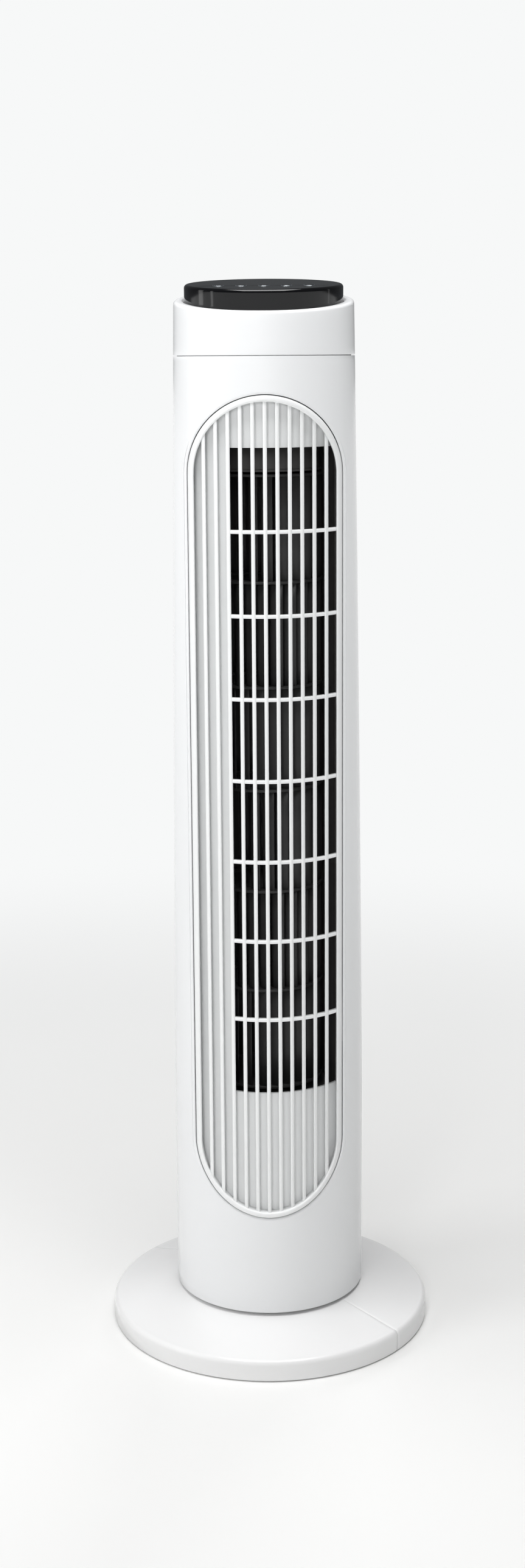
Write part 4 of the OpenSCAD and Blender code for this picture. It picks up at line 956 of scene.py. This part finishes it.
                # the two loops at reach are then moved to just under the skin
                rows = joined(sleeves, [
                    [place @ point for point in circle(r, h, steps)] for r, h in (
                        (shank, floor), (k.screw_hole, floor), (k.screw_hole, reach), (outside, reach),
                        (outside, back), (shank, back))], cycle=True)
                for v in rows[2] + rows[3]:
                    v.co.y = math.sqrt(column_radius(z) ** 2 - v.co.x ** 2) - under_skin
        cut_out(shell, holes)
        bmesh.ops.recalc_face_normals(sleeves, faces=sleeves.faces)
        added(shell, sleeves)


# ---- grille ----


class FAN_OT_grille(bpy.types.Operator):
    """Builds the grille: its oval rim, upright slats and cross ribs"""
    bl_idname = "fan.grille"
    bl_label = "Grille"

    def execute(self, context):
        g = looks().grille
        bm = bmesh.new()
        self.rim(bm, g)
        self.slats(bm, g)
        self.ribs(bm, g)
        obj = new_object("grille", mesh_of(bm))
        piece(obj, "grille_white_abs", "column", "front_grille")
        return {"FINISHED"}

    @staticmethod
    def rim(bm, g):
        """The oval rim, as deep as the slats"""
        deep = g.slat_inset + g.slat_depth
        section = rounded([
            (0, deep, 0), (0, -g.proud, g.rim_inner_round), (g.rim, -g.proud, g.rim_outer_round),
            (g.rim, deep, 0)], 7)
        arcs = (spread(0, math.pi, 96), spread(math.pi, math.tau, 96)[:-1])
        inner = g.radius - g.rim
        path = stadium(1.0, g.low_z, g.top_z, arcs, 60)
        loops = []
        for x, z in path:
            centre = min(max(z, g.low_z), g.top_z)
            loops.append([behind_skin(x * (inner + out), centre + (z - centre) * (inner + out), depth)
                          for out, depth in section])
        joined(bm, loops, cycle=True)

    @staticmethod
    def slats(bm, g):
        """Upright slats, drawn straight and then laid under the skin, each as long as the oval is high"""
        half, corner = g.slat_width / 2, g.slat_round
        section = rounded([
            (-half, g.slat_depth, 0), (-half, 0, corner), (half, 0, corner), (half, g.slat_depth, 0)], 4)
        unit = bmesh.new()
        first = -(g.slats - 1) / 2 * g.slat_pitch
        capped(unit, joined(unit, [
            [Vector((first + x, d, t)) for x, d in section] for t in spread(0, 1, 64)]))
        slats = repeated(unit, "grille_white_abs", columns=g.slats, rows=1, column_step=g.slat_pitch)
        reach = g.radius - g.rim / 2
        for v in slats.verts:
            x, d, t = v.co
            rise = math.sqrt(reach * reach - x * x)
            low, high = g.low_z - rise, g.top_z + rise
            v.co = behind_skin(x, low + (high - low) * t, g.slat_inset + d)
        taken_in(bm, slats)

    @staticmethod
    def ribs(bm, g):
        """Cross ribs over the open part, drawn flat and then laid under the column's skin"""
        half, corner = g.rib_height / 2, g.rib_round
        section = rounded([
            (g.rib_depth, -half, 0), (0, -half, corner), (0, half, corner), (g.rib_depth, half, 0)], 4)
        left, right = g.outlet_x - g.slat_width / 2, g.radius - g.rim / 2
        step = g.cell + g.rib_height
        first = g.outlet_z + step - half
        unit = bmesh.new()
        capped(unit, joined(unit, [
            [Vector((x, d, first + h)) for d, h in section] for x in spread(left, right, 40)]))
        ribs = repeated(unit, "grille_white_abs", columns=1, rows=g.ribs, row_step=step)
        for v in ribs.verts:
            x, d, z = v.co
            v.co = behind_skin(x, z, g.rib_inset + d)
        taken_in(bm, ribs)


# ---- top ----


def cap_frame():
    """The cap's own frame: the middle of its top, leaning to the front"""
    t = looks().top
    return Matrix.Translation((0, 0, t.cap_z)) @ Matrix.Rotation(t.cap_tilt, 4, "X")


def key_place(i):
    """Move from the middle of the cap's top to key i, in the cap's own frame"""
    t = looks().top
    return Matrix.Translation(((i - (t.keys - 1) / 2) * t.key_pitch, -t.key_row, 0))


class FAN_OT_top_ring(bpy.types.Operator):
    """Builds the white ring that carries the cap, with its rounded and sloping lip"""
    bl_idname = "fan.top_ring"
    bl_label = "Top ring"

    def execute(self, context):
        t, c = looks().top, looks().column
        low = c.seam_z + t.ring_gap
        wall_in = column_radius(low) - c.wall
        play, collar_wall = 0.2 * MM, 1.4 * MM
        collar_out, collar_in = wall_in - play, wall_in - play - collar_wall
        small = 0.3 * MM
        bm = bmesh.new()
        loops = []
        for turn in full_turn(240)[:-1]:
            ca, sa = math.cos(turn), math.sin(turn)
            top = t.ring_side_z + c.seam_radius * sa * math.tan(t.ring_tilt)
            pocket = self.pocket_radius(t, ca, sa, top)
            floor = t.cap_z - t.cap_depth / math.cos(t.cap_tilt) + t.cap_radius * sa * math.tan(t.cap_tilt)
            side = column_radius(top)
            inner = t.cap_radius - t.ledge
            corners = [(column_radius(low), low, t.seam_edge)]
            corners += [(column_radius(z), z, 0) for z in spread(low, top - t.lip, 5)[1:-1]]
            corners += [
                (side, top, t.lip), (pocket + 1.6 * MM, top - 0.1 * MM, 0.6 * MM),
                (pocket, top - 1.7 * MM, 0.5 * MM), (self.pocket_radius(t, ca, sa, floor), floor, 0.2 * MM),
                (inner, floor, small), (inner, floor - t.ledge_wall, small),
                (wall_in, floor - t.ledge_wall, small), (wall_in, low + t.spigot, 0),
                (collar_in, low + t.spigot / 2, 0), (collar_in, low - t.spigot, small),
                (collar_out, low - t.spigot, small), (collar_out, low, 0)]
            loops.append([Vector((r * ca, r * sa, z)) for r, z in rounded(corners, 6)])
        joined(bm, loops, cycle=True)
        ring = new_object("top_ring_skin", mesh_of(bm))
        piece(ring, "column_white_abs", "column", "top_ring")
        return {"FINISHED"}

    @staticmethod
    def pocket_radius(t, ca, sa, z):
        """Distance from the column's axis to the cap's pocket at a height"""
        squeeze = math.cos(t.cap_tilt)
        r = t.cap_radius + t.gap
        middle = (t.cap_z - z) * math.tan(t.cap_tilt)
        a = ca * ca + (sa * squeeze) ** 2
        b = -2 * sa * middle * squeeze ** 2
        rest = (middle * squeeze) ** 2 - r * r
        return (-b + math.sqrt(b * b - 4 * a * rest)) / (2 * a)


class FAN_OT_cap(bpy.types.Operator):
    """Builds the black cap with its rounded edge and its key holes"""
    bl_idname = "fan.cap"
    bl_label = "Cap"

    def execute(self, context):
        t = looks().top
        shoulder, flat_band = t.cap_radius - t.cap_edge, 1.2 * MM
        outline = [(shoulder - flat_band, 0.0), (shoulder, 0.0)]
        outline += [(shoulder + t.cap_edge * math.sin(a), -t.cap_edge * (1 - math.cos(a)))
                    for a in spread(0, math.pi / 2, 10)[1:]]
        outline += [(t.cap_radius, z) for z in spread(-t.cap_edge, -t.cap_depth, 4)[1:]]
        bm = bmesh.new()
        rim = joined(bm, [circle(r, z, 144) for r, z in outline])[0]
        rings = [rim] + [[bm.verts.new(key_place(i) @ point) for point in circle(t.key_radius + t.gap, 0, 40)]
                         for i in range(t.keys)]
        every = [v for ring in rings for v in ring]
        for triangle in tessellate_polygon([[v.co for v in ring] for ring in rings]):
            bm.faces.new([every[i] for i in triangle])
        bm.transform(cap_frame())
        cap = edged(walled("cap", bm, t.cap_wall), 0.3 * MM, 50, 3)
        piece(cap, "cap_black_gloss", "column", "control_cap")
        return {"FINISHED"}


class FAN_OT_keys(bpy.types.Operator):
    """Builds the round keys, each with a dished top and a flange that keeps it in"""
    bl_idname = "fan.keys"
    bl_label = "Keys"

    def execute(self, context):
        t = looks().top
        r, top = t.key_radius, t.key_proud
        flange_top = -t.cap_wall - t.gap
        flange_low = flange_top - 0.8 * MM
        outline = rounded([
            (0.0, top - 0.3 * MM, 0), (r * 0.45, top - 0.25 * MM, 0.8 * MM), (r * 0.8, top, 0.4 * MM),
            (r, top, 0.35 * MM), (r, flange_top, 0), (t.key_flange, flange_top, 0.15 * MM),
            (t.key_flange, flange_low, 0.15 * MM), (0.0, flange_low, 0)], 4)
        for i in range(t.keys):
            bm = bmesh.new()
            lathed(bm, outline, full_turn(48), cap_frame() @ key_place(i))
            key = new_object(f"key_top_{i + 1}", mesh_of(bm))
            piece(key, "key_black", f"key_{i + 1}", f"key_{i + 1}")
        # a thin bright ring pressed into the cap round each key
        inner = t.key_radius + t.gap + 0.25 * MM
        outer, sunk, high, edge = inner + t.key_ring, -0.4 * MM, t.key_ring / 2, t.key_ring / 3
        unit = bmesh.new()
        lathed(unit, rounded([
            (inner, sunk, 0), (outer, sunk, 0), (outer, high, edge), (inner, high, edge)], 3),
            full_turn(48), key_place(0))
        rings = repeated(unit, "steel_zinc", columns=t.keys, rows=1, column_step=t.key_pitch)
        rings.transform(cap_frame())
        piece(new_object("key_rings", mesh_of(rings)), "steel_zinc", "column")
        return {"FINISHED"}


# ---- blower wheel ----


class FAN_OT_wheel(bpy.types.Operator):
    """Builds the blower wheel: rings of curved blades between thin discs"""
    bl_idname = "fan.wheel"
    bl_label = "Blower wheel"

    def execute(self, context):
        w = looks().wheel
        pitch = (w.high_z - w.low_z - w.disc) / w.sections
        # the blades end just inside the discs' edges and reach a little into the discs
        outer, bite, steps = w.radius - 0.6 * MM, 0.3 * MM, 6
        ahead, behind = [], []
        for k in range(steps + 1):
            s = k / steps
            r = outer - w.blade_depth * (1 - s)
            thin = w.blade_wall / 2 * (1 - 0.45 * s ** 4 - 0.3 * (1 - s) ** 4)
            for side, turn in ((ahead, thin / r), (behind, -thin / r)):
                a = w.lean / 2 * s * s + turn
                side.append((r * math.cos(a), r * math.sin(a)))
        section = ahead + behind[::-1]
        unit = bmesh.new()
        capped(unit, joined(unit, [
            [Vector((x, y, z)) for x, y in section] for z in spread(w.disc - bite, pitch + bite, 3)]))
        bm = repeated(unit, "impeller_black", columns=w.blades, rows=w.sections, row_step=pitch,
                      column_turn=math.tau / w.blades, row_turn=w.twist)
        ring_in = w.radius - w.blade_depth - 1.5 * MM
        edge, fillet, chamfer = 0.5 * MM, 0.8 * MM, 0.3 * MM
        high = w.high_z - w.low_z
        under, hub_floor, stub_hub = high - w.disc, w.hub_height - 2 * MM, w.stub + 4 * MM
        stub_low, stub_end = high - 12 * MM, high - 10 * MM
        outlines = [[
            (ring_in, z, edge), (w.radius, z, edge),
            (w.radius, z + w.disc, edge), (ring_in, z + w.disc, edge)]
            for z in spread(0.0, w.sections * pitch, w.sections)[1:-1]]
        outlines.append([
            (w.shaft, 0, chamfer), (w.radius, 0, edge), (w.radius, w.disc, edge), (w.hub, w.disc, fillet),
            (w.hub, w.hub_height, edge), (0, w.hub_height, 0), (0, hub_floor, 0), (w.shaft, hub_floor, 0)])
        outlines.append([
            (0, stub_end, 0), (0, stub_low, 0), (stub_hub, stub_low, edge), (stub_hub, under, fillet),
            (w.radius, under, edge), (w.radius, high, edge), (w.stub, high, chamfer), (w.stub, stub_end, 0)])
        for outline in outlines:
            lathed(bm, rounded(outline, 3), full_turn(96))
        bm.transform(Matrix.Translation((0, w.axis_y, w.low_z)))
        wheel = new_object("blower_wheel", mesh_of(bm))
        piece(wheel, "impeller_black", "impeller", "impeller")
        return {"FINISHED"}


class FAN_OT_skirt(bpy.types.Operator):
    """Builds the skirt under the upper deck that closes the duct above the wheel"""
    bl_idname = "fan.skirt"
    bl_label = "Duct skirt"

    def execute(self, context):
        w = looks().wheel
        play, wall, bead_width, bead_height, edge = 0.05 * MM, 1.6 * MM, 1.2 * MM, 1.8 * MM, 0.6 * MM
        low, high = w.high_z + w.skirt_gap, DECK_UNDERSIDE - play
        out, inside, bead, bead_z = w.skirt, w.skirt - wall, w.skirt + bead_width, low + bead_height
        bm = bmesh.new()
        lathed(bm, rounded([
            (inside, low, 0.4 * MM), (bead, low, edge), (bead, bead_z, edge), (out, bead_z, edge / 2),
            (out, high, 0), (inside, high, 0)], 4), full_turn(120))
        bm.transform(Matrix.Translation((0, w.axis_y, 0)))
        piece(new_object("duct_skirt", mesh_of(bm)), "duct_black_abs", "column")
        return {"FINISHED"}


# ---- finishes and stage ----


class FAN_OT_finishes(bpy.types.Operator):
    """Gives every part of the frame that stays in view its own material"""
    bl_idname = "fan.finishes"
    bl_label = "Finishes"

    def execute(self, context):
        slots = {part["node"]: part["material_slot"] for part in frame["record"]["subparts"]}
        for node, obj in frame["nodes"].items():
            for i in range(max(len(obj.material_slots), 1)):
                if not obj.material_slots:
                    obj.data.materials.append(finish(slots[node]))
                obj.material_slots[i].material = finish(slots[node])
        return {"FINISHED"}


def stage_floor():
    """Matt white paint with faint clouds, which further out glows as pale as the air, so no edge shows"""
    material, tree, place = new_material("floor_matt_white")
    clouds = add(tree, "ShaderNodeTexNoise", {"Vector": place, "Scale": 2.0, "Detail": 3.0})
    tint = add(tree, "ShaderNodeMix", {
        0: clouds.outputs["Fac"], 6: linear("#F0F0EF"), 7: linear("#F6F6F5")}, data_type="RGBA").outputs[2]
    paint = add(tree, "ShaderNodeBsdfPrincipled", {
        "Base Color": tint, "Roughness": 0.55, "Specular IOR Level": 0.25})
    glow = add(tree, "ShaderNodeEmission", {"Color": linear(AIR), "Strength": 1.0})
    distance = add(tree, "ShaderNodeVectorMath", {0: place}, operation="LENGTH").outputs["Value"]
    fade = add(tree, "ShaderNodeMapRange", {
        "Value": distance, "From Min": 0.25, "From Max": 1.5}, interpolation_type="SMOOTHSTEP").outputs[0]
    mixed = add(tree, "ShaderNodeMixShader", {0: fade, 1: paint.outputs[0], 2: glow.outputs[0]})
    add(tree, "ShaderNodeOutputMaterial", {"Surface": mixed.outputs[0]})
    return material


AIR = "#F7F8F8"
LIGHTS_AIM = Vector((0, 0, 0.45))
CAMERA_PLACE = (-0.0033, -1.512, 0.753)
CAMERA_PITCH, CAMERA_ROLL = math.radians(90 - 12.0), math.radians(-0.4)
# name, place, width and height in metres, power in watts, and whether gloss mirrors it
SOFTBOXES = (
    ("left_softbox", (-1.7, -0.7, 1.2), (0.7, 1.4), 11.0, False),
    ("front_softbox", (-0.25, -2.3, 1.0), (1.0, 1.0), 6.0, False),
    ("front_left_key", (-0.62, -2.3, 1.25), (0.35, 0.35), 5.5, False),
    ("top_softbox", (0.0, -0.3, 2.3), (1.4, 1.4), 43.0, True),
    ("back_softbox", (0.6, 2.1, 1.4), (1.0, 1.0), 13.0, False),
    ("left_strip", (-1.75, 0.35, 0.85), (0.3, 1.2), 1.6, True),
    ("left_thin_strip", (-1.8, -0.35, 0.85), (0.12, 1.2), 0.8, True),
    ("right_thin_strip", (1.7, 0.5, 0.85), (0.08, 1.2), 0.2, True),
)


class FAN_OT_stage(bpy.types.Operator):
    """Sets the pale floor, the soft studio light and the camera"""
    bl_idname = "fan.stage"
    bl_label = "Stage"

    def execute(self, context):
        bm = bmesh.new()
        bm.faces.new(joined(bm, [circle(r, 0, 64) for r in (0.05, 0.4, 2.0, 12.0, 60.0)])[0])
        floor = new_object("floor", mesh_of(bm))
        if floor.data.polygons[0].normal.z < 0:
            floor.data.flip_normals()
        floor.data.materials.append(stage_floor())

        self.studio_air(context)
        for name, at, size, power, mirrored in SOFTBOXES:
            light = bpy.data.lights.new(name, "AREA")
            light.shape, light.size, light.size_y, light.energy = "RECTANGLE", size[0], size[1], power
            lamp = new_object(name, light)
            lamp.location = at
            lamp.visible_glossy = mirrored
            lamp.rotation_euler = (LIGHTS_AIM - Vector(at)).to_track_quat("-Z", "Y").to_euler()

        camera = new_object("camera", bpy.data.cameras.new("camera"))
        camera.data.lens, camera.data.sensor_width = 46.4, 36
        camera.data.dof.use_dof = False
        camera.location = CAMERA_PLACE
        camera.rotation_mode = "XYZ"
        aim = Matrix.Rotation(CAMERA_PITCH, 4, "X") @ Matrix.Rotation(CAMERA_ROLL, 4, "Z")
        camera.rotation_euler = aim.to_euler()
        context.scene.camera = camera
        context.scene.view_settings.view_transform = "Standard"
        return {"FINISHED"}

    @staticmethod
    def studio_air(context):
        """Pale air all round, with a dim room behind it for what mirrors in the gloss"""
        world = bpy.data.worlds.new("studio")
        world.use_nodes = True
        tree = world.node_tree
        tree.nodes.clear()
        ray = add(tree, "ShaderNodeLightPath").outputs
        pale = add(tree, "ShaderNodeBackground", {"Color": linear(AIR), "Strength": 1.0})
        soft = add(tree, "ShaderNodeBackground", {"Color": linear("#F8FAFC"), "Strength": 0.04})
        room = add(tree, "ShaderNodeBackground", {"Color": linear("#8A8D90"), "Strength": 0.35})
        lit = add(tree, "ShaderNodeMixShader", {
            0: ray["Is Glossy Ray"], 1: soft.outputs[0], 2: room.outputs[0]})
        seen = add(tree, "ShaderNodeMixShader", {
            0: ray["Is Camera Ray"], 1: lit.outputs[0], 2: pale.outputs[0]})
        add(tree, "ShaderNodeOutputWorld", {"Surface": seen.outputs[0]})
        context.scene.world = world


class FAN_PT_build(bpy.types.Panel):
    """The builders of the fan"""
    bl_label = "Tower Fan"
    bl_idname = "FAN_PT_build"
    bl_space_type = "VIEW_3D"
    bl_region_type = "UI"
    bl_category = "Tower Fan"

    def draw(self, context):
        for step in STEPS:
            self.layout.operator(step.bl_idname)


GROUPS = (BaseSizes, ColumnSizes, GrilleSizes, BackSizes, TopSizes, WheelSizes, FanColours, FanLooks)
STEPS = (FAN_OT_finishes, FAN_OT_base, FAN_OT_front_shell, FAN_OT_rear_shell, FAN_OT_grille, FAN_OT_top_ring,
         FAN_OT_cap, FAN_OT_keys, FAN_OT_wheel, FAN_OT_skirt, FAN_OT_stage)


def register():
    for cls in GROUPS + STEPS + (FAN_PT_build,):
        bpy.utils.register_class(cls)
    bpy.types.Scene.tower_fan = PointerProperty(type=FanLooks)


def unregister():
    del bpy.types.Scene.tower_fan
    for cls in reversed(GROUPS + STEPS + (FAN_PT_build,)):
        bpy.utils.unregister_class(cls)


def main():
    register()
    for step in STEPS:
        group, name = step.bl_idname.split(".")
        getattr(getattr(bpy.ops, group), name)()


if __name__ == "__main__":
    main()
